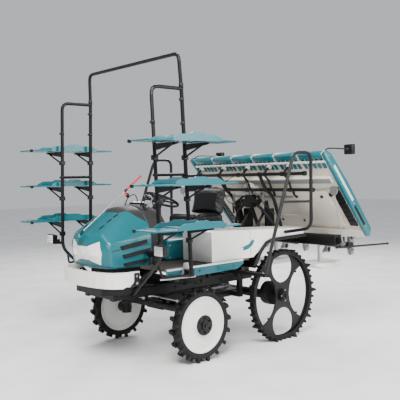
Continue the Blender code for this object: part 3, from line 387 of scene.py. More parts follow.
# ---- modelling toolkit -----------------------------------------------------------------------------------
class Shape:
    """One piece in the making, built up with mesh operators."""

    def __init__(self) -> None:
        """Starts an empty shape."""
        self.bm = bmesh.new()

    def _bevel(self, verts: Iterable[bmesh.types.BMVert], width: float, segments: int) -> None:
        """Rounds every edge between some vertices.

        Args:
            verts: the vertices.
            width: the bevel's width in metres, nought for none.
            segments: facets across the bevel.
        """
        if width <= 0:
            return
        edges = {edge for vert in verts for edge in vert.link_edges}
        bmesh.ops.bevel(self.bm, geom=list(edges), offset=width, segments=segments, profile=0.5,
                        affect="EDGES", clamp_overlap=True, material=-1)

    def box(self, low: Point, high: Point, bevel: float = 0.0, segments: int = 2,
            turn: Matrix | None = None) -> "Shape":
        """Adds a box.

        Args:
            low: one corner.
            high: the corner across from it.
            bevel: how far its edges are rounded.
            segments: facets across a rounded edge.
            turn: a turn about its middle.

        Returns:
            This shape.
        """
        low, high = Vector(low), Vector(high)
        size = [abs(part) for part in high - low]
        where = Matrix.Translation((low + high) / 2) @ (turn or Matrix()).to_4x4()
        where = where @ Matrix.Diagonal((*size, 1.0))
        made = bmesh.ops.create_cube(self.bm, size=1.0, matrix=where)["verts"]
        self._bevel(made, bevel, segments)
        return self

    def rod(self, start: Point, end: Point, radius: float, sides: int = 12, tip: float | None = None,
            bevel: float = 0.0) -> "Shape":
        """Adds a round bar or a cone between two places.

        Args:
            start: the middle of one end.
            end: the middle of the other end.
            radius: the radius at the start.
            sides: facets around it.
            tip: the radius at the end, when it differs.
            bevel: how far its rims are rounded.

        Returns:
            This shape.
        """
        start, end = Vector(start), Vector(end)
        along = end - start
        turn = Vector((0, 0, 1)).rotation_difference(along).to_matrix().to_4x4()
        made = bmesh.ops.create_cone(self.bm, cap_ends=True, segments=sides, radius1=radius,
                                     radius2=radius if tip is None else tip, depth=along.length,
                                     matrix=Matrix.Translation((start + end) / 2) @ turn)["verts"]
        if bevel > 0:
            rims = [edge for edge in {e for v in made for e in v.link_edges}
                    if any(len(face.verts) > 4 for face in edge.link_faces)]
            bmesh.ops.bevel(self.bm, geom=rims, offset=bevel, segments=2, profile=0.5, affect="EDGES",
                            clamp_overlap=True, material=-1)
        return self

    def pin(self, middle: Point, start: float, end: float, radius: float, sides: int = 12,
            tip: float | None = None, bevel: float = 0.0) -> "Shape":
        """Adds a round bar that lies along X.

        Args:
            middle: a place on its axis.
            start: where it starts, to the left of that place.
            end: where it ends.
            radius: the radius at the start.
            sides: facets around it.
            tip: the radius at the end, when it differs.
            bevel: how far its rims are rounded.

        Returns:
            This shape.
        """
        ends = [Vector(middle) + Vector((place, 0, 0)) for place in (start, end)]
        return self.rod(*ends, radius, sides, tip, bevel)

    def ball(self, centre: Point, radius: float, squash: Point = (1, 1, 1), detail: int = 12) -> "Shape":
        """Adds a ball, flattened or drawn out along the axes by squash.

        Args:
            centre: its middle.
            radius: its radius.
            squash: its scale along X, Y and Z.
            detail: facets around it.

        Returns:
            This shape.
        """
        where = Matrix.Translation(Vector(centre)) @ Matrix.Diagonal((*squash, 1.0))
        bmesh.ops.create_uvsphere(self.bm, u_segments=detail, v_segments=max(6, detail // 2), radius=radius,
                                  matrix=where)
        return self

    def pipe(self, points: Sequence[Point], radius: float, sides: int = 10) -> "Shape":
        """Adds a pipe whose rings are bridged from point to point.

        Args:
            points: the places on its middle line.
            radius: its radius.
            sides: facets around it.

        Returns:
            This shape.
        """
        path = [Vector(point) for point in points]
        before = None
        ahead = Vector((0, 0, 1))
        turn = Matrix.Identity(3)
        for index, place in enumerate(path):
            follow = path[min(index + 1, len(path) - 1)] - path[max(index - 1, 0)]
            turn = ahead.rotation_difference(follow).to_matrix() @ turn
            ahead = follow
            last = index in (0, len(path) - 1)
            ring = bmesh.ops.create_circle(self.bm, cap_ends=last, segments=sides, radius=radius,
                                           matrix=Matrix.Translation(place) @ turn.to_4x4())["verts"]
            inside = set(ring)
            edges = [edge for edge in {e for v in ring for e in v.link_edges}
                     if edge.verts[0] in inside and edge.verts[1] in inside]
            if before:
                bmesh.ops.bridge_loops(self.bm, edges=before + edges)
            before = edges
        return self

    def prism(self, outline: Sequence[Point], axis: str, low: float, high: float, bevel: float = 0.0,
              segments: int = 2) -> "Shape":
        """Adds a plate of any outline.

        Args:
            outline: its corners in the plane across the axis, X before Y before Z.
            axis: the axis it is thick along.
            low: where it starts on the axis.
            high: where it ends on the axis.
            bevel: how far its edges are rounded.
            segments: facets across a rounded edge.

        Returns:
            This shape.
        """
        number = "XYZ".index(axis)
        corners = []
        for first, second in outline:
            place = [first, second]
            place.insert(number, low)
            corners += bmesh.ops.create_vert(self.bm, co=place)["vert"]
        face = bmesh.ops.contextual_create(self.bm, geom=corners)["faces"]
        grown = bmesh.ops.extrude_face_region(self.bm, geom=face, use_keep_orig=True)["geom"]
        top = [item for item in grown if isinstance(item, bmesh.types.BMVert)]
        step = Vector((0, 0, 0))
        step[number] = high - low
        bmesh.ops.translate(self.bm, verts=top, vec=step)
        self._bevel(corners + top, bevel, segments)
        return self

    def slab(self, corners: Sequence[Point], low: float, high: float, bevel: float = 0.0,
             segments: int = 2) -> "Shape":
        """Adds a bar of any section that lies on the seedling board, across it.

        Args:
            corners: the section's corners, as a share of the board and a lift off it.
            low: where it starts on X.
            high: where it ends on X.
            bevel: how far its edges are rounded.
            segments: facets across a rounded edge.

        Returns:
            This shape.
        """
        return self.prism([board(*corner) for corner in corners], "X", low, high, bevel, segments)

    def strip(self, shares: Point, lifts: Point, low: float, high: float, bevel: float = 0.0,
              segments: int = 2) -> "Shape":
        """Adds a bar of rectangular section on the seedling board.

        Args:
            shares: where it starts and ends down the board.
            lifts: its near and far lift off the board.
            low: where it starts on X.
            high: where it ends on X.
            bevel: how far its edges are rounded.
            segments: facets across a rounded edge.

        Returns:
            This shape.
        """
        (top, bottom), (near, far) = shares, lifts
        corners = [(top, near), (bottom, near), (bottom, far), (top, far)]
        return self.slab(corners, low, high, bevel, segments)

    def lathe(self, profile: Sequence[Point], centre: Point, axis: str = "X", steps: int = 48) -> "Shape":
        """Turns a profile about an axis.

        Args:
            profile: pairs of place along the axis and distance from it.
            centre: a place on the axis.
            axis: the axis.
            steps: facets around it.

        Returns:
            This shape.
        """
        number = "XYZ".index(axis)
        chain = []
        for along, away in profile:
            place = Vector(centre)
            place[number] += along
            place[(number + 1) % 3] += away
            chain += bmesh.ops.create_vert(self.bm, co=place)["vert"]
        edges = []
        for first, second in zip(chain, chain[1:]):
            edges += bmesh.ops.contextual_create(self.bm, geom=[first, second])["edges"]
        turn = Vector((0, 0, 0))
        turn[number] = 1.0
        bmesh.ops.spin(self.bm, geom=chain + edges, cent=centre, axis=turn, angle=math.tau, steps=steps,
                       use_merge=True, use_duplicate=False)
        return self

    def repeat(self, count: int, centre: Point, axis: str) -> "Shape":
        """Repeats everything made so far in a ring.

        Args:
            count: how many there are in the full circle.
            centre: a place on the axis.
            axis: the axis.

        Returns:
            This shape.
        """
        original = list(self.bm.verts) + list(self.bm.edges) + list(self.bm.faces)
        for number in range(1, count):
            copied = bmesh.ops.duplicate(self.bm, geom=original)["geom"]
            verts = [item for item in copied if isinstance(item, bmesh.types.BMVert)]
            turn = Matrix.Rotation(math.tau * number / count, 3, axis)
            bmesh.ops.rotate(self.bm, verts=verts, cent=centre, matrix=turn)
        return self

    def flip(self, side: int) -> "Shape":
        """Swaps left and right.

        Args:
            side: minus one to swap, one to leave it.

        Returns:
            This shape.
        """
        if side < 0:
            bmesh.ops.scale(self.bm, verts=list(self.bm.verts), vec=(-1, 1, 1))
        return self

    def finish(self, name: str, finish: Finish, body: str | None = "chassis",
               smooth: float = 35.0) -> bpy.types.Object:
        """Turns the shape into a piece of the machine.

        Args:
            name: the piece's name.
            finish: its finish.
            body: the body it rides on, or None for the studio.
            smooth: edges sharper than this many degrees stay sharp.

        Returns:
            The finished object.
        """
        bmesh.ops.remove_doubles(self.bm, verts=list(self.bm.verts), dist=1e-6)
        bmesh.ops.recalc_face_normals(self.bm, faces=list(self.bm.faces))
        name = name.replace(" ", "_")
        mesh = bpy.data.meshes.new(name)
        self.bm.to_mesh(mesh)
        self.bm.free()
        piece = bpy.data.objects.new(name, mesh)
        bpy.context.scene.collection.objects.link(piece)
        mesh.materials.append(finish.build())
        mesh.shade_smooth()
        mesh.set_sharp_from_angle(angle=math.radians(smooth))
        if body is None:
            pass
        else:
            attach(piece, body)
        return piece


def curve(points: Sequence[Point], steps: int = 6) -> list[Vector]:
    """Makes a smooth run of places through some points.

    Args:
        points: the points it passes through.
        steps: spans between two points.

    Returns:
        The places.
    """
    path = [Vector(point) for point in points]
    ends = [path[0]] + path + [path[-1]]
    places = []
    for number in range(1, len(ends) - 2):
        a, b, c, d = ends[number - 1:number + 3]
        for part in range(steps):
            t = part / steps
            places.append(0.5 * (2 * b + (c - a) * t + (2 * a - 5 * b + 4 * c - d) * t * t
                                 + (3 * b - 3 * c + d - a) * t ** 3))
    places.append(path[-1])
    return places


def bolts(places: Iterable[Point], axis: Point, radius: float = 0.009) -> Shape:
    """Makes hexagon heads with washers.

    Args:
        places: where they sit, on the surface.
        axis: the way they point, outward.
        radius: the head's radius.

    Returns:
        The shape that holds them all.
    """
    shape = Shape()
    way = Vector(axis).normalized()
    for place in places:
        foot = Vector(place) - way * 0.002
        shape.rod(foot, foot + way * 0.004, radius * 1.45, 12)
        shape.rod(foot + way * 0.003, foot + way * (0.004 + radius * 0.8), radius, 6)
    return shape


def slice_up(shape: Shape, axis: str, step: float) -> Shape:
    """Cuts a shape's faces at even steps along an axis, so that it can follow a curved surface.

    Args:
        shape: the shape.
        axis: the axis the cuts lie across.
        step: metres between cuts.

    Returns:
        The same shape.
    """
    number = "XYZ".index(axis)
    low = min(vert.co[number] for vert in shape.bm.verts)
    high = max(vert.co[number] for vert in shape.bm.verts)
    normal = Vector((0, 0, 0))
    normal[number] = 1.0
    for count in range(1, int((high - low) / step) + 1):
        place = normal * (low + count * step)
        everything = list(shape.bm.verts) + list(shape.bm.edges) + list(shape.bm.faces)
        bmesh.ops.bisect_plane(shape.bm, geom=everything, plane_co=place, plane_no=normal)
    return shape


def drape(shape: Shape, node: str, way: Point) -> Shape:
    """Lays a shape on a solid's surface; its depth along the way in becomes its height off the surface.

    Args:
        shape: the shape, modelled flat.
        node: the solid's name.
        way: the direction one looks in to see the surface.

    Returns:
        The same shape.
    """
    solid = frame["nodes"][node]
    into = Vector(way)
    back = solid.matrix_world.inverted()
    for vert in shape.bm.verts:
        depth = vert.co.dot(into)
        start = vert.co - into * (depth + 3.0)
        hit, spot, _, _ = solid.ray_cast(back @ start, back.to_3x3() @ into)
        if hit:
            vert.co = solid.matrix_world @ spot + into * depth
    return shape


def side_view(*corners: Point) -> list[tuple[float, float]]:
    """Turns places seen from the side into the corners of an outline across X.

    Args:
        corners: pairs of metres behind the front axle and height.

    Returns:
        The same places as pairs of Y and Z.
    """
    return [(y + AXLE_Y, z) for y, z in corners]


def board(share: float, lift: float = 0.0) -> tuple[float, float]:
    """Finds a place on the seedling board.

    Args:
        share: how far down the board, nought at its top edge and one at its lower edge.
        lift: how far off its upper face, outward and up.

    Returns:
        The place's Y and Z in the machine's frame.
    """
    y0, z0, y1, z1 = 1.167, 1.800, 1.830, 1.010
    length = math.hypot(y1 - y0, z1 - z0)
    down = ((y1 - y0) / length, (z1 - z0) / length)
    return (y0 + (y1 - y0) * share - down[1] * lift + AXLE_Y, z0 + (z1 - z0) * share + down[0] * lift)


# ---- sub-assemblies --------------------------------------------------------------------------------------
@dataclass
class Paintwork:
    """The finishes of the solids that stay as they are."""

    by_slot: dict[str, Finish] = field(default_factory=lambda: {
        "teal_paint": Finishes.TEAL, "white_paint": Finishes.WHITE, "cream_plastic": Finishes.CREAM,
        "black_paint": Finishes.BLACK, "dark_casting": Finishes.IRON, "tyre_rubber": Finishes.RUBBER,
        "floor_mat": Finishes.FLOOR, "cowl_plastic": Finishes.COWL, "seat_vinyl": Finishes.VINYL,
        "bare_steel": Finishes.STEEL})

    def build(self) -> None:
        """Gives every solid the finish of its slot."""
        for part in frame["record"]["subparts"]:
            node = frame["nodes"][part["node"]]
            node.data.materials.clear()
            node.data.materials.append(self.by_slot[part["material_slot"]].build())


@dataclass
class FrontWheel:
    """A lugged tyre on a flat white disc.

    Attributes:
        label: left or right.
        side: one for the left, minus one for the right.
        track: half the distance between the two wheels.
        tread: the radius over the lugs.
        carcass: the radius between the lugs.
        rim: the radius of the disc's edge.
        lugs: lugs on each flank.
    """

    label: str
    side: int
    track: float = 0.615
    tread: float = 0.325
    carcass: float = 0.297
    rim: float = 0.2463
    lugs: int = 17

    def lug(self, middle: Vector, half: int) -> Shape:
        """Builds one lug of one flank.

        Args:
            middle: the wheel's middle.
            half: one for the left flank, minus one for the right.

        Returns:
            The lug, at the top of the tyre.
        """
        low = middle + Vector((half * 0.003, -0.015, self.carcass - 0.010))
        high = middle + Vector((half * 0.049, 0.015, self.tread - 0.0006))
        heel = low.y - (0.004 if half == self.side else 0.0)
        lug = Shape().prism([(low.x, heel), (high.x, low.y + 0.014), (high.x, high.y + 0.016),
                             (low.x, high.y)],
                            "Z", low.z, high.z, 0.003, 1)
        return lug.box(middle + Vector((half * 0.040, 0.002, self.rim + 0.026)),
                       middle + Vector((half * 0.0495, 0.025, self.carcass + 0.010)), 0.002, 1)

    def build(self) -> None:
        """Builds the tyre with its lugs, then the disc's trim."""
        label, out = self.label, self.side
        body = f"front_wheel_{label}"
        middle = at(out * self.track, 0, self.tread)
        flank = [(0.035, self.rim), (0.046, self.rim + 0.012), (0.049, self.rim + 0.030),
                 (0.040, self.carcass - 0.006), (0.022, self.carcass)]
        profile = [(-x, r) for x, r in flank] + flank[::-1] + [(-0.035, self.rim)]
        tyre = Shape().lathe(profile, middle, "X", 68).finish(f"front tyre {label}", Finishes.RUBBER, body)
        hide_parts(f"front_tyre_{label}")
        for half, turn in ((1, 0.0), (-1, math.pi / self.lugs)):
            lug = self.lug(middle, half)
            bmesh.ops.rotate(lug.bm, verts=list(lug.bm.verts), cent=middle,
                             matrix=Matrix.Rotation(turn, 3, "X"))
            lug.repeat(self.lugs, middle, "X").finish(f"front tyre lugs {label} {half}", Finishes.RUBBER,
                                                      body)
        cap = Shape().pin(middle, out * 0.040, out * 0.055, 0.0885, 40, bevel=0.003)
        cap.pin(middle, out * 0.045, out * 0.069, 0.040, 32, bevel=0.004)
        cap.pin(middle, out * 0.045, out * 0.077, 0.018, 6).finish(f"hub cap {label}", Finishes.BLACK, body)
        heads = Shape().pin(middle + Vector((0, 0, 0.064)), out * 0.053, out * 0.067, 0.010, 6)
        heads.repeat(6, middle, "X").finish(f"wheel bolts {label}", Finishes.IRON, body)
        bead = ((0.030, 0.228), (0.0345, 0.232), (0.036, 0.240), (0.034, 0.2455), (0.026, 0.2455),
                (0.026, 0.228), (0.030, 0.228))
        ring = Shape().lathe([(out * x, r) for x, r in bead], middle, "X", 64)
        ring.finish(f"rim bead {label}", Finishes.WHITE, body)


@dataclass
class RearWheel:
    """A thin ring with paddles and studs, carried by a waisted spider.

    Attributes:
        label: left or right.
        side: one for the left, minus one for the right.
        track: half the distance between the two wheels.
        axle_y: how far it is behind the front axle.
        ring: the ring's outer radius and the hub's height.
    """

    label: str
    side: int
    track: float = 0.618
    axle_y: float = 1.072
    ring: float = 0.435

    def studs(self, middle: Vector) -> Shape:
        """Builds the studs and paddles of the whole ring.

        Args:
            middle: the wheel's middle.

        Returns:
            The studs.
        """
        studs = Shape()
        for turn in (-9, 0, 9):
            angle = math.radians(turn)
            foot = middle + Vector((0, math.sin(angle), math.cos(angle))) * (self.ring - 0.012)
            wide = 0.042 if turn else 0.034
            made = len(studs.bm.verts)
            studs.box(foot - Vector((wide, 0.011, 0)), foot + Vector((wide, 0.011, 0.027)), 0.003, 1)
            studs.bm.verts.ensure_lookup_table()
            bmesh.ops.rotate(studs.bm, verts=studs.bm.verts[made:], cent=foot,
                             matrix=Matrix.Rotation(-angle, 3, "X"))
        return studs.repeat(10, middle, "X")

    def build(self) -> None:
        """Adds studs, flanges, hub, bolts and rivets."""
        label, out = self.label, self.side
        body = f"rear_wheel_{label}"
        middle = at(out * self.track, self.axle_y, self.ring)
        self.studs(middle).finish(f"ring studs {label}", Finishes.RUBBER, body)
        rims = Shape()
        for low, high in ((-0.030, -0.0165), (0.0165, 0.030)):
            rims.lathe([(low, 0.398), (low + 0.004, 0.394), (high - 0.004, 0.394), (high, 0.398),
                        (high, 0.430), (high - 0.004, 0.434), (low + 0.004, 0.434), (low, 0.430),
                        (low, 0.398)], middle, "X", 60)
        rims.finish(f"ring flanges {label}", Finishes.RUBBER, body)
        hub = Shape().pin(middle, out * 0.030, out * 0.050, 0.045, 32, bevel=0.004)
        hub.pin(middle, out * 0.045, out * 0.066, 0.020, 6).finish(f"rear hub {label}", Finishes.IRON, body)
        heads = Shape().pin(middle + Vector((0, 0, 0.050)), out * 0.030, out * 0.042, 0.009, 6)
        heads.repeat(4, middle, "X").finish(f"rear wheel bolts {label}", Finishes.STEEL, body)
        rivets = Shape()
        for angle in (45, 135, 225, 315):
            turn = math.radians(angle)
            for reach in (0.150, 0.290):
                spot = middle + Vector((0, math.cos(turn), math.sin(turn))) * reach
                rivets.pin(spot, -0.009, 0.009, 0.010, 12)
        rivets.finish(f"spider rivets {label}", Finishes.IRON, body)


@dataclass
class Hood:
    """The teal hood with its louvres, lamp panel and seams.

    Attributes:
        louvres: each louvre's front and rear upper corner and its depth.
        slots: where the slots of the ridge start, measured from the front axle.
    """

    louvres: tuple = (((-0.62, 1.040), (-0.345, 1.082), 0.034), ((-0.60, 0.965), (-0.315, 1.003), 0.033),
                      ((-0.59, 0.893), (-0.315, 0.918), 0.030))
    slots: tuple[float, ...] = (-0.545, -0.612, -0.690)

    @staticmethod
    def lay(shape: Shape, way: Point, cuts: str, step: float, name: str, finish: Finish) -> None:
        """Lays a piece on the hood.

        Args:
            shape: the piece, modelled flat.
            way: the direction one looks in to see the surface.
            cuts: the axes it is cut along so that it can bend.
            step: metres between cuts.
            name: its name.
            finish: its finish.
        """
        for axis in cuts:
            slice_up(shape, axis, step)
        drape(shape, "hood", way).finish(name, finish, "hood")

    def flank(self, label: str, side: int) -> None:
        """Builds the louvres, slots and crease of one flank.

        Args:
            label: left or right.
            side: one for the left, minus one for the right.
        """
        into = (-side, 0, 0)
        for number, ((y0, z0), (y1, z1), deep) in enumerate(self.louvres):
            louvre = Shape().prism(side_view((y0, z0), (y1, z1), (y1, z1 - deep), (y0 + 0.020, z0 - deep)),
                                        "X", side * 0.0045, side * -0.002, 0.0012, 1)
            self.lay(louvre, into, "Y", 0.05, f"louvre {label} {number}", Finishes.BLACK)
            bars = Shape()
            for bar in range(3):
                drop = 0.008 + bar * deep * 0.30
                bars.prism(side_view((y0 + 0.020, z0 - drop), (y1 - 0.012, z1 - drop),
                                     (y1 - 0.012, z1 - drop - 0.004), (y0 + 0.024, z0 - drop - 0.004)),
                           "X", side * 0.0085, side * 0.002)
            self.lay(bars, into, "Y", 0.05, f"louvre bars {label} {number}", Finishes.COWL)
        slots = Shape()
        for y in self.slots:
            start = y + AXLE_Y
            slots.prism([(side * 0.108, start), (side * 0.130, start - 0.004), (side * 0.138, start + 0.040),
                         (side * 0.120, start + 0.044)], "Z", 0.0015, -0.002)
        self.lay(slots, (0, 0, -1), "Y", 0.02, f"ridge slots {label}", Finishes.BLACK)
        seam = Shape().prism(side_view((-0.700, 1.006), (-0.297, 1.042), (-0.297, 1.038), (-0.700, 1.002)),
                             "X", side * 0.0014, side * -0.001)
        self.lay(seam, into, "Y", 0.04, f"hood crease {label}", Finishes.BLACK)

    def build(self) -> None:
        """Builds the trim of both flanks, of the top and of the nose."""
        for label, side in SIDES:
            self.flank(label, side)
        half = [(0.294, -0.2935 + AXLE_Y), (0.205, -0.400 + AXLE_Y), (0.110, -0.490 + AXLE_Y)]
        cap = Shape().prism([(-x, y) for x, y in half] + half[::-1], "Z", 0.0035, -0.001)
        self.lay(cap, (0, 0, -1), "XY", 0.03, "hood rear cap", Finishes.COWL)
        ahead = (0, 1, 0)
        panel = [(-0.205, 1.085), (-0.075, 1.040), (0.075, 1.040), (0.205, 1.085), (0.225, 0.985),
                 (0.200, 0.885), (0.070, 0.925), (-0.070, 0.925), (-0.200, 0.885), (-0.225, 0.985)]
        self.lay(Shape().prism(panel, "Y", -0.006, 0.002, 0.0015, 1), ahead, "XZ", 0.030, "lamp panel",
                 Finishes.WHITE)
        for label, side in SIDES[::-1]:
            x = side * 0.145
            lens = Shape().prism([(x - 0.045, 0.955), (x + 0.045, 0.955), (x + 0.045, 1.020),
                                  (x - 0.045, 1.020)], "Y", -0.014, 0.0, 0.004, 2)
            self.lay(lens, ahead, "XZ", 0.02, f"head lamp {label}", Finishes.LENS)
            ribs = Shape()
            for number in range(4):
                rib = x - 0.030 + number * 0.020
                ribs.prism([(rib, 0.962), (rib + 0.003, 0.962), (rib + 0.003, 1.013), (rib, 1.013)],
                           "Y", -0.017, -0.010)
            self.lay(ribs, ahead, "Z", 0.02, f"lens ribs {label}", Finishes.LENS)
        ring = Shape().rod(at(0, -0.800, 0.982), at(0, -0.792, 0.982), 0.030, 32, bevel=0.002)
        ring.finish("nose lamp", Finishes.LENS, "hood")
        bolts([at(0.029, -0.835, 1.125)], (1, 0, 0), 0.007).finish("rod bolt", Finishes.STEEL, "hood")


@dataclass
class SightRod:
    """The grey rod with its red tip and its small hanging strip."""

    foot: Vector = field(default_factory=lambda: at(0, -0.835, 1.125))
    tip: Vector = field(default_factory=lambda: at(0, -0.150, 1.630))

    def build(self) -> None:
        """Adds the sleeves, the red tip and the strip."""
        along = self.tip - self.foot
        end = self.tip + along.normalized() * 0.004
        red = Shape().rod(self.foot + along * 0.76, end, 0.0085, 14, bevel=0.002)
        red.finish("rod tip", Finishes.RED, "sight_rod")
        sleeve = Shape().rod(self.foot + along * 0.725, self.foot + along * 0.765, 0.0105, 14, bevel=0.002)
        sleeve.rod(self.foot + along * 0.03, self.foot + along * 0.085, 0.0100, 14, bevel=0.002)
        sleeve.finish("rod sleeves", Finishes.BLACK, "sight_rod")
        spot = self.foot + along * 0.745
        low, high = spot - Vector((0.0015, 0.007, 0.062)), spot + Vector((0.0015, 0.007, -0.008))
        strip = Shape().box(low, high, 0.0006, 1)
        strip.finish("rod strip", Finishes.RED, "sight_rod")


@dataclass
class Racks:
    """Braces, lamps, knobs and shelf humps of the seedling racks.

    Attributes:
        levels: the shelves' names and heights.
        legs: where the two posts stand, measured from the front axle.
        front: the shelves' front ends, measured from the front axle.
        rear: the shelves' rear ends.
        reach: how far out a post stands one metre above the ground.
        taper: how far a post leans in over a metre.
    """

    levels: tuple = (("lower", 1.205), ("middle", 1.545), ("upper", 1.885))
    legs: tuple[float, float] = (-0.545, -0.230)
    front: float = -0.830
    rear: float = 0.070
    reach: float = 0.763
    taper: float = 0.05

    def post(self, height: float) -> float:
        """Finds how far out a post stands.

        Args:
            height: a height above the ground.

        Returns:
            The distance from the machine's middle.
        """
        return self.reach - self.taper * (height - 1.0)

    def humps(self, inner: float, level: float) -> Shape:
        """Builds the ribs pressed into a left shelf.

        Args:
            inner: the shelf's inner edge.
            level: its height.

        Returns:
            The ribs.
        """
        humps = Shape()
        for y in (self.front + 0.300, (self.front + self.rear) / 2, self.rear - 0.300):
            humps.prism([(inner + 0.012, level + 0.0119), (inner + 0.288, level + 0.0119),
                         (inner + 0.280, level + 0.021), (inner + 0.020, level + 0.021)], "Y",
                        y - 0.012 + AXLE_Y, y + 0.012 + AXLE_Y, 0.003, 2)
        for x in (inner + 0.070, inner + 0.150, inner + 0.230):
            humps.box(at(x - 0.008, self.front + 0.050, level + 0.0118),
                      at(x + 0.008, self.rear - 0.050, level + 0.0165), 0.002, 1)
        ridge = side_view((self.front + 0.36, level + 0.050), (self.front + 0.54, level + 0.050),
                          (self.front + 0.50, level + 0.066), (self.front + 0.40, level + 0.066))
        for x in (inner + 0.006, inner + 0.294):
            humps.prism(ridge, "X", x - 0.005, x + 0.005, 0.002, 1)
        return humps

    def shelf(self, level: float, name: str, label: str, side: int) -> None:
        """Dresses one shelf.

        Args:
            level: its height.
            name: its name in words.
            label: left or right.
            side: one for the left, minus one for the right.
        """
        inner = self.post(level) + 0.046
        foot = self.post(level - 0.115)
        trim = Shape()
        for y in self.legs:
            trim.rod(at(foot + 0.010, y - 0.012, level - 0.115), at(inner + 0.215, y - 0.012, level - 0.010),
                     0.008, 10)
            trim.box(at(foot - 0.020, y - 0.026, level - 0.135), at(foot + 0.020, y + 0.022, level - 0.095),
                     0.003, 1)
        trim.rod(at(inner + 0.020, self.front + 0.010, level + 0.004),
                 at(inner + 0.020, self.front - 0.014, level + 0.004), 0.014, 16, bevel=0.003)
        heads = bolts([at(inner + x, y, level + 0.012) for y in self.legs for x in (0.040, 0.255)],
                      (0, 0, 1), 0.008)
        self.humps(inner, level).flip(side).finish(f"{name} shelf ribs {label}", Finishes.TEAL)
        trim.flip(side).finish(f"{name} shelf braces {label}", Finishes.BLACK)
        heads.flip(side).finish(f"{name} shelf bolts {label}", Finishes.STEEL)

    @staticmethod
    def lamp(label: str, side: int) -> None:
        """Builds the work lamp beside a front post.

        Args:
            label: left or right.
            side: one for the left, minus one for the right.
        """
        x, y, z = 0.853, -0.620, 1.037
        body = Shape().box(at(x - 0.058, y - 0.012, z - 0.042), at(x + 0.058, y + 0.020, z + 0.046), 0.008, 3)
        body.flip(side).finish(f"work lamp {label}", Finishes.BLACK)
        lens = Shape().box(at(x - 0.050, y - 0.016, z - 0.035), at(x + 0.050, y - 0.008, z + 0.039), 0.004, 2)
        lens.flip(side).finish(f"work lamp lens {label}", Finishes.LENS)
        grid = Shape()
        near, far = y - 0.0185, y - 0.014
        for step in (-0.017, 0.017):
            bar = z + 0.002 + step * 0.75
            grid.box(at(x + step - 0.0015, near, z - 0.035), at(x + step + 0.0015, far, z + 0.039))
            grid.box(at(x - 0.050, near, bar - 0.0015), at(x + 0.050, far, bar + 0.0015))
        grid.flip(side).finish(f"work lamp grid {label}", Finishes.PALE)

    def posts(self, label: str, side: int) -> None:
        """Builds the clamps on two posts and the bracket beside the step.

        Args:
            label: left or right.
            side: one for the left, minus one for the right.
        """
        front, rear = self.legs
        clamps = Shape()
        heights = (1.080, 1.632, 2.050)
        for y, z in [(front, z) for z in heights] + [(rear, z) for z in (*heights, 2.250)]:
            x = self.post(z)
            clamps.rod(at(x, y, z - 0.013), at(x - 0.0013, y, z + 0.013), 0.0185, 18, bevel=0.002)
            clamps.box(at(x - 0.006, y - 0.030, z - 0.010), at(x + 0.006, y - 0.010, z + 0.010), 0.002, 1)
        top = self.post(2.36)
        clamps.rod(at(top + 0.0002, rear, 2.345), at(top, rear, 2.385), 0.0200, 18, bevel=0.003)
        clamps.flip(side).finish(f"post clamps {label}", Finishes.BLACK)
        step = Shape().prism(side_view((-0.262, 0.900), (-0.212, 0.900), (-0.190, 0.800), (-0.290, 0.800)),
                             "X", 0.7112, 0.7140, 0.001, 1)
        step.rod(at(0.728, -0.520, 0.790), at(0.728, -0.150, 0.776), 0.007, 12)
        step.flip(side).finish(f"step bracket {label}", Finishes.PALE)

    def build(self) -> None:
        """Dresses both racks."""
        for label, side in SIDES:
            for name, level in self.levels:
                self.shelf(level, name, label, side)
            self.lamp(label, side)
            self.posts(label, side)


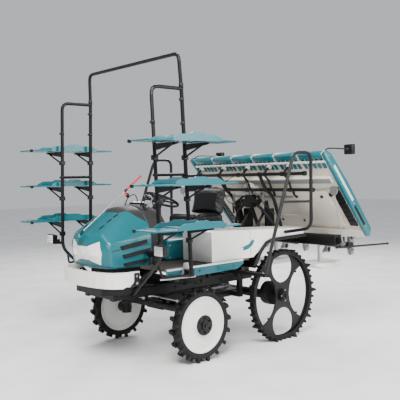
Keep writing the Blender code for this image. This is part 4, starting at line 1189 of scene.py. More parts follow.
@dataclass
class Cushion:
    """A stuffed seat pad, filled by a cloth run.

    Attributes:
        node: the solid it stands for.
        low: its lowest corner.
        high: its highest corner.
        lean: how far its top leans back.
        voxel: the size of the cloth's mesh.
        cap: the furthest that a point may move.
        rest: how near the carrying face a point is held.
        frames: the length of the cloth run.
    """

    node: str
    low: Vector
    high: Vector
    lean: float = 0.0
    voxel: float = 0.006
    cap: float = 0.012
    rest: float = 0.012
    frames: int = 20

    def build(self) -> None:
        """Builds the pad and runs its cloth."""
        shape = Shape().box(self.low, self.high, 0.026, 4)
        if self.lean:
            for vert in shape.bm.verts:
                share = (vert.co.z - self.low.z) / (self.high.z - self.low.z)
                vert.co.y += self.lean * share
        pad = shape.finish(f"{self.node} pad", Finishes.VINYL, "chassis", 60)
        self.inflate(pad)
        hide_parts(self.node)

    def is_held(self, place: Vector) -> bool:
        """Tells whether a point rests against the solid that carries the pad.

        Args:
            place: the point.

        Returns:
            True near a backrest's rear face or a cushion's underside.
        """
        if not self.lean:
            return abs(place.z - self.low.z) < self.rest
        share = (place.z - self.low.z) / (self.high.z - self.low.z)
        return abs(place.y - self.high.y - self.lean * share) < self.rest

    def inflate(self, pad: bpy.types.Object) -> None:
        """Fills the pad with a short cloth run whose travel is capped.

        Args:
            pad: the pad.
        """
        remesh = pad.modifiers.new("remesh", "REMESH")
        remesh.mode = "VOXEL"
        remesh.voxel_size = self.voxel
        self.apply(pad)
        rest = [vert.co.copy() for vert in pad.data.vertices]
        pins = pad.vertex_groups.new(name="held")
        pins.add([number for number, place in enumerate(rest) if self.is_held(place)], 1.0, "REPLACE")
        cloth = pad.modifiers.new("cloth", "CLOTH")
        cloth.settings.effector_weights.gravity = 0.0
        settings = {"use_pressure": True, "uniform_pressure_force": 4.0, "vertex_group_mass": "held",
                    "tension_stiffness": 18.0, "compression_stiffness": 18.0, "bending_stiffness": 3.0}
        for key, value in settings.items():
            setattr(cloth.settings, key, value)
        cloth.point_cache.frame_start = 1
        cloth.point_cache.frame_end = self.frames
        scene = bpy.context.scene
        for number in range(1, self.frames + 1):
            scene.frame_set(number)
        self.apply(pad)
        scene.frame_set(1)
        for vert, start in zip(pad.data.vertices, rest):
            move = vert.co - start
            if move.length > self.cap:
                vert.co = start + move * (self.cap / move.length)
        finer = pad.modifiers.new("finer", "SUBSURF")
        finer.levels = 1
        finer.render_levels = 1
        self.apply(pad)
        pad.data.shade_smooth()

    @staticmethod
    def apply(pad: bpy.types.Object) -> None:
        """Turns the pad's modified mesh into its own mesh.

        Args:
            pad: the pad.
        """
        graph = bpy.context.evaluated_depsgraph_get()
        mesh = bpy.data.meshes.new_from_object(pad.evaluated_get(graph))
        pad.modifiers.clear()
        pad.data = mesh


@dataclass
class Seat:
    """The driver's seat with its piping, and the plates on its base.

    Attributes:
        half: half the seat's width.
        wall: how far out the base's side faces stand.
    """

    half: float = 0.215
    wall: float = 0.3

    def build(self) -> None:
        """Builds both pads, then the cushion's piping and the base's plates, seams and bolts."""
        Cushion("seat_cushion", at(-self.half, 0.330, 1.165), at(self.half, 0.690, 1.240)).build()
        Cushion("seat_back", at(-self.half, 0.622, 1.236), at(self.half, 0.688, 1.488), lean=0.050).build()
        edge = self.half - 0.004
        corners = ((-edge, 0.344), (edge, 0.344), (edge, 0.680), (-edge, 0.680), (-edge, 0.344))
        Shape().pipe([at(x, y, 1.172) for x, y in corners], 0.005, 8).finish("cushion piping", Finishes.VINYL)
        plates, seams = Shape(), Shape()
        for _, side in SIDES:
            x, out = side * (self.wall + 0.0005), side * 0.003
            plates.box(at(x, 0.120, 0.905), at(x + out, 0.240, 0.965), 0.001, 1)
            x, out = side * (self.wall + 0.0003), side * 0.0015
            seams.box(at(x, -0.085, 1.018), at(x + out, 0.690, 1.022))
            seams.box(at(x, 0.282, 0.870), at(x + out, 0.286, 1.030))
        plates.box(at(-0.10, -0.1035, 0.930), at(0.10, -0.1003, 0.985), 0.001, 1)
        plates.finish("blank plates", Finishes.LABEL)
        seams.finish("seat base seams", Finishes.BLACK)
        for label, side in SIDES[::-1]:
            x = side * (self.wall + 0.0002)
            heads = bolts([at(x, y, z) for y in (-0.07, 0.66) for z in (0.890, 1.000)], (side, 0, 0), 0.007)
            heads.finish(f"seat base bolts {label}", Finishes.STEEL)


@dataclass
class Controls:
    """Levers, gauges, pedals and cables round the steering column."""

    def lever(self, name: str, points: Sequence[Point], finish: Finish, size: float) -> None:
        """Builds one lever with its knob and gaiter.

        Args:
            name: its name.
            points: places along its stem.
            finish: the knob's finish.
            size: the knob's radius.
        """
        places = [at(*point) for point in points]
        Shape().pipe(curve(places, 4), 0.006, 8).finish(name, Finishes.STEEL)
        Shape().ball(places[-1], size, (1, 1, 1.25), 18).finish(f"{name} knob", finish)
        gaiter = Shape()
        for number in range(4):
            foot = places[0] + Vector((0, 0, number * 0.007))
            gaiter.rod(foot, foot + Vector((0, 0, 0.006)), 0.020 - number * 0.003, 14, 0.017 - number * 0.003)
        gaiter.finish(f"{name} gaiter", Finishes.RUBBER)

    def levers(self) -> None:
        """Builds the four hand levers."""
        black = Finishes.BLACK
        self.lever("main lever", ((0.165, -0.235, 1.330), (0.195, -0.190, 1.400), (0.205, -0.165, 1.455)),
                   black, 0.021)
        self.lever("planting lever", ((-0.165, -0.235, 1.330), (-0.195, -0.190, 1.400),
                                      (-0.200, -0.165, 1.450)), black, 0.019)
        self.lever("seat lever", ((0.265, 0.420, 1.048), (0.280, 0.400, 1.130), (0.275, 0.380, 1.200)),
                   black, 0.017)
        self.lever("depth lever", ((-0.265, 0.450, 1.048), (-0.275, 0.440, 1.130), (-0.270, 0.420, 1.190)),
                   Finishes.RED, 0.015)

    def build(self) -> None:
        """Builds levers, gauges, pedals, cables, boot and wheel cap."""
        self.levers()
        panel = Shape().box(at(-0.110, -0.215, 1.352), at(0.110, -0.150, 1.378), 0.006, 2,
                            Matrix.Rotation(math.radians(-24), 3, "X"))
        panel.finish("gauge panel", Finishes.BLACK)
        for number, x in enumerate((-0.065, 0.0, 0.065)):
            dial = Shape().rod(at(x, -0.178, 1.378), at(x, -0.173, 1.389), 0.021, 26, bevel=0.002)
            dial.finish(f"gauge {number}", Finishes.LENS)
        for number, (x, y) in enumerate(((0.40, -0.330), (-0.40, -0.330), (0.36, -0.345))):
            pedal = Shape().box(at(x - 0.032, y - 0.010, 0.925), at(x + 0.032, y + 0.004, 0.985), 0.005, 2,
                                Matrix.Rotation(math.radians(30), 3, "X"))
            pedal.rod(at(x, y - 0.004, 0.858), at(x, y - 0.004, 0.940), 0.007, 10)
            pedal.finish(f"pedal {number}", Finishes.RUBBER)
        loops = Shape()
        for x, lift in ((0.145, 0.120), (0.095, 0.085), (-0.135, 0.100)):
            loops.pipe(curve([at(x, -0.245, 1.335), at(x + 0.01, -0.215, 1.345 + lift * 0.8),
                              at(x, -0.120, 1.350 + lift), at(x - 0.02, -0.060, 1.300)], 6), 0.0045, 8)
        loops.finish("console cables", Finishes.RUBBER)
        boot = Shape()
        for number in range(5):
            reach = 0.052 - number * 0.004
            foot = at(0, -0.010 + number * 0.0095, 1.262 + number * 0.021)
            boot.rod(foot, foot + Vector((0, 0.0052, 0.012)), reach, 24, reach - 0.006)
        boot.finish("column boot", Finishes.RUBBER)
        axis = Vector((0, 0.4229, 0.9062))
        top = at(0, 0.080, 1.400)
        cap = Shape().rod(top + axis * 0.010, top + axis * 0.022, 0.032, 28, bevel=0.004)
        cap.finish("steering wheel cap", Finishes.COWL, "steering_wheel")


@dataclass
class Body:
    """Bumper brackets, skirts, rear covers and the chassis' bolts.

    Attributes:
        leaf: the outline of the painted leaf on a rear cover.
        fender: the black tube along a rear cover's lower edge.
    """

    leaf: tuple = ((0.398, 0.950), (0.470, 0.962), (0.540, 0.985), (0.592, 1.020), (0.632, 1.058),
                   (0.620, 1.010), (0.585, 0.968), (0.530, 0.940), (0.465, 0.930))
    fender: tuple = ((0.605, 0.775), (0.694, 0.910), (0.768, 0.976), (0.846, 1.000), (1.345, 1.010))

    def flank(self, label: str, side: int) -> None:
        """Builds the trim of one side, with a painted highlight along the skirt's top edge.

        Args:
            label: left or right.
            side: one for the left, minus one for the right.
        """
        out = (side, 0, 0)
        heads = bolts([at(side * 0.4625, -0.560, z) for z in (0.740, 0.800)], out, 0.008)
        heads.finish(f"bumper bolts {label}", Finishes.STEEL)
        # A thin white strip along the top edge of the skirt: a painted highlight where the edge catches the
        # light.
        line = Shape().prism(side_view((-0.440, 0.8598), (0.445, 0.8598), (0.445, 0.8440), (-0.436, 0.8440)),
                             "X", side * 0.7080, side * 0.7105, 0.0008, 1)
        line.finish(f"skirt line {label}", Finishes.WHITE)
        rim = Shape().box(at(side * 0.668, -0.440, 0.8597), at(side * 0.690, 0.450, 0.8630), 0.001, 1)
        rim.finish(f"floor rim {label}", Finishes.COWL)
        heads = bolts([at(side * 0.7084, y, 0.812) for y in (-0.380, -0.080, 0.140, 0.330)], out, 0.007)
        heads.finish(f"skirt bolts {label}", Finishes.TEAL)
        leaf = Shape().prism(side_view(*self.leaf), "X", side * 0.6895, side * 0.6915)
        leaf.finish(f"cover leaf {label}", Finishes.TEAL)
        seam = Shape().box(at(side * 0.6896, 0.560, 0.880), at(side * 0.6908, 0.5635, 1.110))
        seam.box(at(side * 0.498 - 0.19, 0.560, 1.1135), at(side * 0.498 + 0.19, 0.5635, 1.1165))
        seam.finish(f"cover seams {label}", Finishes.BLACK)
        edge = Shape().pipe([at(side * 0.700, y, z) for y, z in self.fender], 0.0175, 12)
        edge.finish(f"fender edge {label}", Finishes.RUBBER)
        mats = Shape()
        for number in range(7):
            y = -0.40 + number * 0.055
            mats.box(at(side * 0.36, y, 0.8597), at(side * 0.66, y + 0.030, 0.8640), 0.0018, 1)
        mats.finish(f"tread ribs {label}", Finishes.FLOOR)
        heads = bolts([at(side * 0.2253, y, 0.603) for y in (-0.55, -0.35, 0.05, 0.30, 0.62, 0.92)], out,
                      0.008)
        heads.finish(f"frame bolts {label}", Finishes.IRON)

    def build(self) -> None:
        """Builds the brackets, both sides' trim and the skid plate's bolts."""
        brackets = Shape()
        for _, side in SIDES:
            plate, foot = side * 0.4585, side * 0.2
            brackets.box(at(plate - 0.004, -0.585, 0.715), at(plate + 0.004, -0.530, 0.825), 0.003, 1)
            brackets.box(at(foot - 0.045, -0.628, 0.690), at(foot + 0.045, -0.600, 0.712), 0.003, 1)
        brackets.finish("bumper brackets", Finishes.BLACK)
        for label, side in SIDES:
            self.flank(label, side)
        heads = bolts([at(x, -0.69, 0.627) for x in (-0.16, 0.16)], (0, 0, -1), 0.008)
        heads.finish("skid plate bolts", Finishes.STEEL)


@dataclass
class Platform:
    """The seedling platform: lanes, slats, tabs, lamps, rails and labels.

    Attributes:
        middle: how far left of the machine's middle it rests.
        half: half the board's width.
        pitch: the width of a lane.
        rows: how many lanes.
        body: the body that all of it rides on.
    """

    middle: float = 0.150
    half: float = 0.920
    pitch: float = 0.302
    rows: int = 6
    body: str = "seedling_platform"

    def lane_middles(self) -> list[float]:
        """Finds the middle of each lane.

        Returns:
            The lanes' places on X.
        """
        return [self.middle + (row - (self.rows - 1) / 2) * self.pitch for row in range(self.rows)]

    def lanes(self) -> None:
        """Builds the slats, tabs, floors and ribs of every lane."""
        slats, tabs, ribs, floors = Shape(), Shape(), Shape(), Shape()
        for middle in self.lane_middles():
            for step in range(5):
                x = middle - 0.112 + step * 0.056
                slats.slab([(0.052, -0.0005), (0.166, -0.0005), (0.166, -0.012), (0.060, -0.016)],
                           x - 0.017, x + 0.017, 0.002, 1)
            tabs.slab([(-0.010, -0.022), (0.048, -0.020), (0.048, 0.034), (-0.014, 0.030)],
                      middle - 0.132, middle + 0.132, 0.005, 2)
            floors.strip((0.175, 0.900), (0.0215, 0.0235), middle - 0.128, middle + 0.128)
            for line in (-0.09, -0.03, 0.03, 0.09):
                ribs.slab([(0.060, 0.0215), (0.960, 0.0215), (0.950, 0.029), (0.070, 0.029)],
                          middle + line - 0.004, middle + line + 0.004)
            for share in (0.42, 0.60, 0.78):
                ribs.slab([(share, -0.0005), (share + 0.010, -0.0005), (share + 0.008, -0.010),
                           (share + 0.002, -0.010)], middle - 0.146, middle + 0.146)
        slats.finish("platform slats", Finishes.TEAL, self.body)
        tabs.finish("platform tabs", Finishes.TEAL, self.body)
        floors.finish("lane floors", Finishes.WHITE, self.body)
        ribs.finish("lane ribs", Finishes.CREAM, self.body)

    def stud(self, shape: Shape, x: float, share: float, lifts: Point, radius: float, sides: int,
             tip: float | None = None, bevel: float = 0.0) -> None:
        """Adds a round stud that stands square on the board.

        Args:
            shape: the shape it joins.
            x: its place on X.
            share: how far down the board it is.
            lifts: where it starts and ends off the board.
            radius: its radius at the foot.
            sides: facets around it.
            tip: its radius at the end, when it differs.
            bevel: how far its rims are rounded.
        """
        foot, end = ((x, *board(share, lift)) for lift in lifts)
        shape.rod(foot, end, radius, sides, tip, bevel)

    def back(self) -> None:
        """Builds the rails, covers and knobs on the side that faces the driver."""
        low, high = self.middle - self.half, self.middle + self.half
        rail = Shape().strip((0.070, 0.092), (-0.011, -0.023), low, high, 0.002, 1)
        rail.finish("perforated rail", Finishes.WHITE, self.body)
        holes = Shape()
        for number in range(36):
            self.stud(holes, low + 0.040 + number * 0.0526, 0.081, (-0.0225, -0.0236), 0.0055, 8)
        holes.finish("rail holes", Finishes.BLACK, self.body)
        face = Shape().slab([(0.262, -0.0445), (0.318, -0.0445), (0.312, -0.052), (0.268, -0.052)],
                            low + 0.035, high - 0.035, 0.001, 1)
        for shares in ((0.268, 0.275), (0.305, 0.312)):
            face.strip(shares, (-0.0515, -0.0560), low + 0.036, high - 0.036)
        face.finish("rail face", Finishes.ALUMINIUM, self.body)
        covers = Shape()
        for start, end in ((-0.80, -0.24), (0.26, 0.74)):
            covers.slab([(0.43, -0.0005), (0.91, -0.0005), (0.91, -0.020), (0.47, -0.030), (0.43, -0.022)],
                        self.middle + start, self.middle + end, 0.008, 3)
        covers.finish("platform covers", Finishes.CREAM, self.body)
        knobs = Shape()
        for x in (-0.72, -0.32, 0.34, 0.66):
            self.stud(knobs, self.middle + x, 0.50, (-0.025, -0.044), 0.020, 18, 0.015, 0.002)
        for x in self.lane_middles():
            self.stud(knobs, x, 0.50, (-0.0005, -0.016), 0.024, 18, 0.018, 0.002)
            self.stud(knobs, x + 0.08, 0.86, (-0.0005, -0.010), 0.013, 14)
        knobs.finish("platform knobs", Finishes.BLACK, self.body)

    def end(self, label: str, side: int) -> None:
        """Builds the frame, strips and column at one end.

        Args:
            label: left or right.
            side: one for the left, minus one for the right.
        """
        middle = self.middle + side * (self.half + 0.012)
        out = middle + side * 0.0182
        sheath = Shape().slab([(-0.014, -0.0212), (1.021, -0.0212), (1.0515, 0.010), (1.001, 0.0764),
                               (0.40, 0.0864), (0.049, 0.0614), (-0.014, 0.031)],
                              middle - 0.0182, middle + 0.0182, 0.002, 2)
        sheath.finish(f"platform end frame {label}", Finishes.TEAL, self.body)
        strip = Shape().slab([(0.16, 0.008), (0.60, 0.012), (0.60, 0.045), (0.16, 0.038)],
                             out - side * 0.001, out + side * 0.0015)
        strip.finish(f"blank strip {label}", Finishes.LABEL, self.body)
        recess = Shape().strip((0.66, 0.90), (0.0, 0.030), out - side * 0.001, out + side * 0.0020, 0.0008, 1)
        recess.finish(f"black strip {label}", Finishes.BLACK, self.body)
        inner = self.middle + side * (self.half - 0.075)
        column = Shape().strip((0.40, 0.90), (-0.0005, -0.014), inner - 0.045, inner + 0.045, 0.002, 1)
        for number in range(8):
            share = 0.44 + number * 0.055
            column.strip((share, share + 0.018), (-0.0135, -0.019), inner - 0.036, inner + 0.036)
        column.finish(f"end column {label}", Finishes.BLACK, self.body)
        heads = bolts([(out, *board(share, 0.020)) for share in (0.04, 0.63, 0.93)], (side, 0, 0), 0.008)
        heads.finish(f"platform end bolts {label}", Finishes.STEEL, self.body)

    def lamp(self, label: str, side: int) -> None:
        """Builds the rear lamp on its stalk at one end.

        Args:
            label: left or right.
            side: one for the left, minus one for the right.
        """
        x = self.middle + side * 0.914
        top, lamp = board(0.0)[0], board(0.0)[0] + 0.44
        stalk = Shape().pipe(curve([(x, board(0.0, 0.02)[0], 1.815), (x, top + 0.10, 1.850),
                                    (x, top + 0.40, 1.846)], 5), 0.007, 8)
        stalk.finish(f"lamp stalk {label}", Finishes.BLACK, self.body)
        case = Shape().box((x - 0.050, lamp - 0.042, 1.795), (x + 0.050, lamp + 0.012, 1.895), 0.010, 3)
        case.ball((x, lamp - 0.050, 1.845), 0.018, (1, 1, 1), 14)
        case.finish(f"rear lamp {label}", Finishes.BLACK, self.body)
        lens = Shape().box((x - 0.042, lamp + 0.010, 1.803), (x + 0.042, lamp + 0.018, 1.887), 0.004, 2)
        lens.finish(f"rear lamp lens {label}", Finishes.RED, self.body)

    def build(self) -> None:
        """Builds everything that slides with the board."""
        self.lanes()
        self.back()
        for label, side in SIDES:
            self.end(label, side)
            self.lamp(label, side)


@dataclass
class PlantingUnit:
    """Tubes, arms, rollers, drive case, springs and cables of the planting unit.

    Attributes:
        pitch: the distance between two rows.
        body: the body that the unit rides on.
        pipes: the mechanism's bent tubes on the left, as places and a radius.
    """

    pitch: float = 0.302
    body: str = "planting_unit"
    pipes: tuple = ((((0.06, 1.296, 1.330), (0.19, 1.300, 1.230), (0.27, 1.340, 1.110), (0.30, 1.440, 1.000)),
                     0.017, 10),
                    (((0.10, 1.296, 1.390), (0.24, 1.270, 1.300), (0.30, 1.340, 1.200)), 0.011, 8))

    def frame_arms(self) -> None:
        """Builds the arms, collars and rollers on the two cross tubes."""
        arms, rollers = Shape(), Shape()
        for x in (-0.66, -0.30, 0.06, 0.36, 0.62):
            arms.pipe([at(x, 1.120, 1.620), at(x, 1.160, 1.662), at(x, 1.200, 1.690)], 0.013, 10)
            arms.pipe([at(x, 1.120, 1.620), at(x, 1.190, 1.560), at(x, 1.240, 1.460)], 0.011, 8)
            arms.prism(side_view((1.235, 1.462), (1.275, 1.462), (1.300, 1.400), (1.280, 1.392)),
                       "X", x - 0.006, x + 0.006, 0.002, 1)
            rollers.pin(at(x, 1.203, 1.692), -0.018, 0.018, 0.021, 20, bevel=0.003)
        for x in (-0.88, -0.6, -0.3, 0.0, 0.3, 0.6, 0.88):
            arms.pin(at(x, 1.120, 1.620), -0.018, 0.018, 0.023, 16, bevel=0.003)
            arms.pin(at(x, 1.240, 1.460), -0.015, 0.015, 0.022, 16, bevel=0.003)
        arms.finish("frame arms", Finishes.BLACK, self.body)
        rollers.finish("arm rollers", Finishes.PALE, self.body)

    def feed(self) -> None:
        """Builds the feed's case, screw and linkage, and the beam's cover."""
        case = Shape().box(at(-0.075, 1.270, 1.400), at(0.075, 1.350, 1.505), 0.020, 3)
        case.ball(at(0.0, 1.285, 1.490), 0.058, (1.2, 0.8, 0.8), 20)
        case.pin(at(0, 1.310, 1.450), 0.072, 0.100, 0.036, 24, bevel=0.004)
        case.pin(at(0, 1.310, 1.450), -0.100, -0.072, 0.030, 24, bevel=0.004)
        case.finish("feed drive case", Finishes.PALE, self.body)
        screw = Shape().pin(at(0, 1.330, 1.385), -0.56, 0.56, 0.011, 16)
        for number in range(44):
            screw.pin(at(-0.53 + number * 0.0245, 1.330, 1.385), 0.0, 0.007, 0.0135, 12)
        screw.finish("feed screw", Finishes.STEEL, self.body)
        mechanism = Shape().box(at(-0.060, 1.262, 1.270), at(0.060, 1.330, 1.405), 0.012, 2)
        mechanism.pin(at(0, 1.296, 1.330), -0.13, 0.13, 0.030, 20, bevel=0.003)
        plate = side_view((1.270, 1.330), (1.340, 1.350), (1.420, 1.080), (1.350, 1.060))
        for side in (-1, 1):
            for places, radius, sides in self.pipes:
                mechanism.pipe([at(side * x, y, z) for x, y, z in places], radius, sides)
            mechanism.prism(plate, "X", side * 0.205 - 0.006, side * 0.205 + 0.006, 0.003, 1)
        mechanism.rod(at(0.0, 1.300, 1.300), at(0.0, 1.430, 1.020), 0.020, 14)
        mechanism.box(at(-0.42, 1.432, 0.985), at(0.42, 1.462, 1.060), 0.010, 2)
        mechanism.finish("feed linkage", Finishes.IRON, self.body)
        cover = Shape().box(at(-1.000, 1.428, 0.905), at(1.000, 1.5325, 1.012), 0.012, 3)
        cover.finish("beam cover", Finishes.BLACK, self.body)

    def flexible(self) -> None:
        """Builds the return springs and the unit's clipped cables."""
        springs = Shape()
        for side in (-1, 1):
            turns = [(number * math.tau / 10, 1.280 + number * 0.0012) for number in range(121)]
            springs.pipe([at(side * 0.215 + 0.013 * math.cos(angle), 1.265 + 0.013 * math.sin(angle), z)
                          for angle, z in turns], 0.0024, 6)
        springs.finish("return springs", Finishes.STEEL, self.body)
        cables = Shape()
        for places, radius in ((((0.05, 1.130, 1.620), (0.16, 1.060, 1.560), (0.20, 1.100, 1.380),
                                 (0.11, 1.290, 1.340)), 0.0045),
                               (((-0.05, 1.130, 1.620), (-0.14, 1.040, 1.520), (-0.16, 1.120, 1.340),
                                 (-0.06, 1.220, 1.300)), 0.0040)):
            cables.pipe(curve([at(*place) for place in places], 8), radius, 8)
        cables.finish("unit cables", Finishes.RUBBER, self.body)

    def cases(self) -> None:
        """Builds the covers and bolts of the three planting cases, and the beam's ends."""
        middles = (-2 * self.pitch, 0.0, 2 * self.pitch)
        trim = Shape()
        for x in middles:
            for side in (-1, 1):
                trim.pin(at(x, 2.030, 0.860), side * 0.0355, side * 0.047, 0.037, 28, bevel=0.003)
                trim.pin(at(x, 1.520, 0.960), side * 0.0355, side * 0.046, 0.040, 28, bevel=0.003)
        trim.finish("case covers", Finishes.IRON, self.body)
        spots = ((1.60, 0.925), (1.60, 0.975), (1.78, 0.890), (1.78, 0.945), (1.93, 0.862), (1.93, 0.905))
        for label, side in SIDES[::-1]:
            heads = bolts([at(x + side * 0.0368, y, z) for x in middles for y, z in spots], (side, 0, 0),
                          0.006)
            heads.finish(f"case bolts {label}", Finishes.STEEL, self.body)
        ends = Shape()
        for side in (-1, 1):
            x = side * 1.020
            ends.box(at(x - 0.032, 1.446, 0.925), at(x + 0.032, 1.514, 0.995), 0.006, 2)
            ends.ball(at(side * 1.130, 2.140, 0.880), 0.0135, (1, 1, 1), 14)
        ends.finish("beam ends", Finishes.BLACK, self.body)

    def rotors(self) -> None:
        """Builds the round covers of the six planting rotors."""
        covers = Shape()
        for row in (-2.5, -1.5, -0.5, 0.5, 1.5, 2.5):
            for lift in (-0.075, 0.075):
                covers.pin(at(row * self.pitch, 2.030, 0.860 + lift), -0.020, 0.020, 0.027, 24, bevel=0.003)
            covers.pin(at(row * self.pitch, 2.030, 0.860), -0.021, 0.021, 0.022, 20, bevel=0.002)
        covers.finish("rotor covers", Finishes.IRON, "planting_rotors")

    def build(self) -> None:
        """Builds what hangs from the planting frame."""
        self.frame_arms()
        self.feed()
        self.flexible()
        self.cases()
        self.rotors()


@dataclass
class Underside:
    """Covers, hoses, shafts and struts below the deck.

    Attributes:
        hose: places along the left hose.
        front_strut: places along the deck's left front strut.
        rear_strut: places along the deck's left rear strut.
    """

    hose: tuple = ((0.175, -0.520, 0.545), (0.240, -0.300, 0.520), (0.235, 0.000, 0.545),
                   (0.240, 0.350, 0.530), (0.180, 0.640, 0.560))
    front_strut: tuple = ((0.230, -0.600, 0.610), (0.300, -0.470, 0.690), (0.450, -0.430, 0.815))
    rear_strut: tuple = ((0.230, 0.860, 0.610), (0.270, 0.700, 0.760), (0.300, 0.640, 0.835))

    def boxes(self) -> None:
        """Builds the drive shaft, the battery, the oil tank and the muffler."""
        drive = Shape().rod(at(0.060, 0.470, 0.490), at(0.060, 0.900, 0.490), 0.018, 16)
        for y in (0.480, 0.600, 0.830):
            drive.rod(at(0.060, y, 0.490), at(0.060, y + 0.030, 0.490), 0.028, 18, bevel=0.003)
        drive.finish("drive shaft", Finishes.STEEL)
        hoses = Shape()
        for _, side in SIDES:
            hoses.pipe(curve([at(side * x, y, z) for x, y, z in self.hose], 6), 0.008, 10)
        hoses.finish("frame hoses", Finishes.RUBBER)
        tank = Shape().box(at(0.250, -0.060, 0.655), at(0.440, 0.230, 0.815), 0.020, 3)
        tank.pin(at(0.440, 0.080, 0.740), 0.0, 0.012, 0.030, 24, bevel=0.003)
        for y in (-0.010, 0.170):
            tank.box(at(0.246, y, 0.650), at(0.444, y + 0.018, 0.819), 0.003, 1)
        tank.finish("battery case", Finishes.IRON)
        box = Shape().box(at(-0.430, -0.050, 0.665), at(-0.250, 0.220, 0.820), 0.014, 2)
        box.finish("hydraulic tank", Finishes.IRON)
        muffler = Shape().rod(at(-0.255, -0.330, 0.700), at(-0.255, -0.110, 0.700), 0.045, 28, bevel=0.010)
        bend = [at(-0.255, -0.110, 0.700), at(-0.270, -0.070, 0.690), at(-0.300, -0.060, 0.650)]
        muffler.pipe(curve(bend, 5), 0.015, 12)
        muffler.finish("muffler", Finishes.STEEL)

    def build(self) -> None:
        """Builds what shows between the wheels."""
        self.boxes()
        struts = Shape()
        for _, side in SIDES:
            for places, radius in ((self.front_strut, 0.013), (self.rear_strut, 0.014)):
                struts.pipe([at(side * x, y, z) for x, y, z in places], radius, 10)
            struts.box(at(side * 0.2 - 0.030, -0.665, 0.640), at(side * 0.2 + 0.030, -0.520, 0.652), 0.003, 1)
        struts.finish("deck struts", Finishes.BLACK)
        for label, side in SIDES:
            ribs = Shape()
            for number in range(4):
                z = 0.320 + number * 0.055
                ribs.rod(at(side * 0.495, 0, z), at(side * 0.495, 0, z + 0.012), 0.0490, 20)
            ribs.finish(f"kingpin ribs {label}", Finishes.IRON, f"knuckle_{label}")
        cases = Shape()
        for _, side in SIDES:
            middle = at(side * 0.490, 1.052, 0.445)
            cases.ball(middle, 0.118, (0.42, 1, 1), 28)
            for number in range(8):
                turn = math.tau * number / 8
                spot = middle + Vector((0, math.cos(turn), math.sin(turn))) * 0.104
                cases.pin(spot, -0.045, 0.045, 0.010, 10)
        cases.finish("final drive covers", Finishes.IRON)


@dataclass
class Lift:
    """Pins and the hose of the lift.

    Attributes:
        hose: places along its hose.
    """

    hose: tuple = ((0.055, 0.745, 0.905), (0.090, 0.700, 0.880), (0.120, 0.640, 0.800), (0.120, 0.600, 0.700))

    def build(self) -> None:
        """Builds the lift's small parts."""
        pins = Shape()
        for side in (-1, 1):
            pins.pin(at(0, 1.040, 0.600), side * 0.128, side * 0.134, 0.016, 18, bevel=0.002)
            pins.pin(at(0, 1.390, 1.020), side * 0.126, side * 0.1315, 0.016, 18, bevel=0.002)
        pins.finish("lift pins", Finishes.STEEL, "lower_link")
        hose = Shape().pipe(curve([at(*place) for place in self.hose], 6), 0.007, 10)
        hose.finish("lift hose", Finishes.RUBBER)


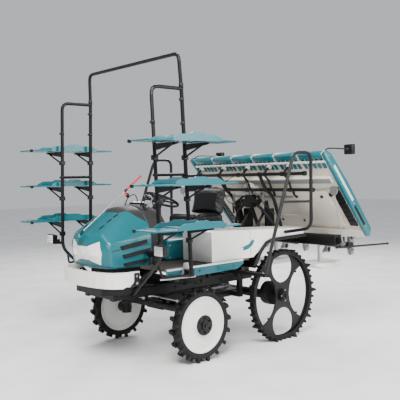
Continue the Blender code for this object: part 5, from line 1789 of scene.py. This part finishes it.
# ---- studio ----------------------------------------------------------------------------------------------
@dataclass
class Studio:
    """A plain pale floor under soft lights.

    Attributes:
        floor: half the floor's size.
    """

    floor: float = 30.0

    def light(self, name: str, place: Point, size: float, power: float,
              tone: tuple[float, float, float]) -> None:
        """Adds one soft light that looks at the machine's middle.

        Args:
            name: its name.
            place: where it stands.
            size: its width.
            power: its power in watts.
            tone: its colour.
        """
        lamp = bpy.data.lights.new(name, "AREA")
        lamp.shape = "DISK"
        lamp.size = size
        lamp.energy = power
        lamp.color = tone
        stand = bpy.data.objects.new(name, lamp)
        stand.location = place
        aim = Vector((0, 0, 0.9)) - Vector(place)
        stand.rotation_euler = aim.to_track_quat("-Z", "Y").to_euler()
        bpy.context.scene.collection.objects.link(stand)

    def build(self) -> None:
        """Builds floor, lights and sky."""
        finish = Finish("studio floor", "white_paint", (0.86, 0.86, 0.855), 0.7, dust=0.0)
        ground = Shape()
        bmesh.ops.create_grid(ground.bm, x_segments=4, y_segments=4, size=self.floor)
        ground.finish("floor", finish, None)
        self.light("key light", (4.2, -4.5, 6.2), 3.2, 1250.0, (1.0, 0.985, 0.96))
        self.light("fill light", (6.5, 2.5, 3.4), 4.0, 420.0, (0.95, 0.975, 1.0))
        self.light("rim light", (-4.5, 4.5, 5.0), 4.0, 480.0, (1.0, 1.0, 1.0))
        world = bpy.data.worlds.new("sky")
        bpy.context.scene.world = world
        world.use_nodes = True
        back = world.node_tree.nodes["Background"]
        back.inputs["Color"].default_value = rgb(0.93, 0.95, 1.0)
        back.inputs["Strength"].default_value = 0.62


@dataclass
class Viewpoint:
    """The camera.

    Attributes:
        place: where it stands.
        azimuth: how far it looks round from straight back, in degrees.
        fall: how far it looks down, in degrees.
        roll: how far it leans, in degrees.
        lens: its focal length in millimetres on a 36 mm frame.
    """

    place: tuple[float, float, float] = (4.740, -4.314, 1.606)
    azimuth: float = 48.22
    fall: float = 2.05
    roll: float = -1.28
    lens: float = 57.47

    def build(self) -> None:
        """Builds the camera and makes it the scene's own."""
        turn, dip, lean = (math.radians(value) for value in (self.azimuth, self.fall, self.roll))
        ahead = Vector((-math.sin(turn) * math.cos(dip), math.cos(turn) * math.cos(dip), -math.sin(dip)))
        right = Vector((math.cos(turn), math.sin(turn), 0))
        up = right.cross(ahead)
        across = math.cos(lean) * right + math.sin(lean) * up
        rise = -math.sin(lean) * right + math.cos(lean) * up
        data = bpy.data.cameras.new("camera")
        data.lens = self.lens
        data.sensor_width = 36.0
        data.clip_end = 200.0
        camera = bpy.data.objects.new("camera", data)
        pose = Matrix((across, rise, -ahead)).transposed().to_4x4()
        pose.translation = Vector(self.place)
        camera.matrix_world = pose
        bpy.context.scene.collection.objects.link(camera)
        bpy.context.scene.camera = camera


def main() -> None:
    """Builds the machine's looks from the ground up."""
    logging.basicConfig(level=logging.INFO, format="%(name)s: %(message)s")
    pieces: list[tuple[str, object]] = [("paintwork", Paintwork())]
    for label, side in SIDES:
        pieces.append((f"front wheel {label}", FrontWheel(label, side)))
        pieces.append((f"rear wheel {label}", RearWheel(label, side)))
    pieces += [("hood", Hood()), ("sight rod", SightRod()), ("racks", Racks()), ("seat", Seat()),
               ("controls", Controls()), ("body", Body()), ("platform", Platform()),
               ("planting unit", PlantingUnit()), ("underside", Underside()), ("lift", Lift()),
               ("studio", Studio()),
               ("camera", Viewpoint())]
    for name, piece in pieces:
        piece.build()
        LOG.info("built %s", name)
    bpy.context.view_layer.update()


if __name__ == "__main__":
    main()
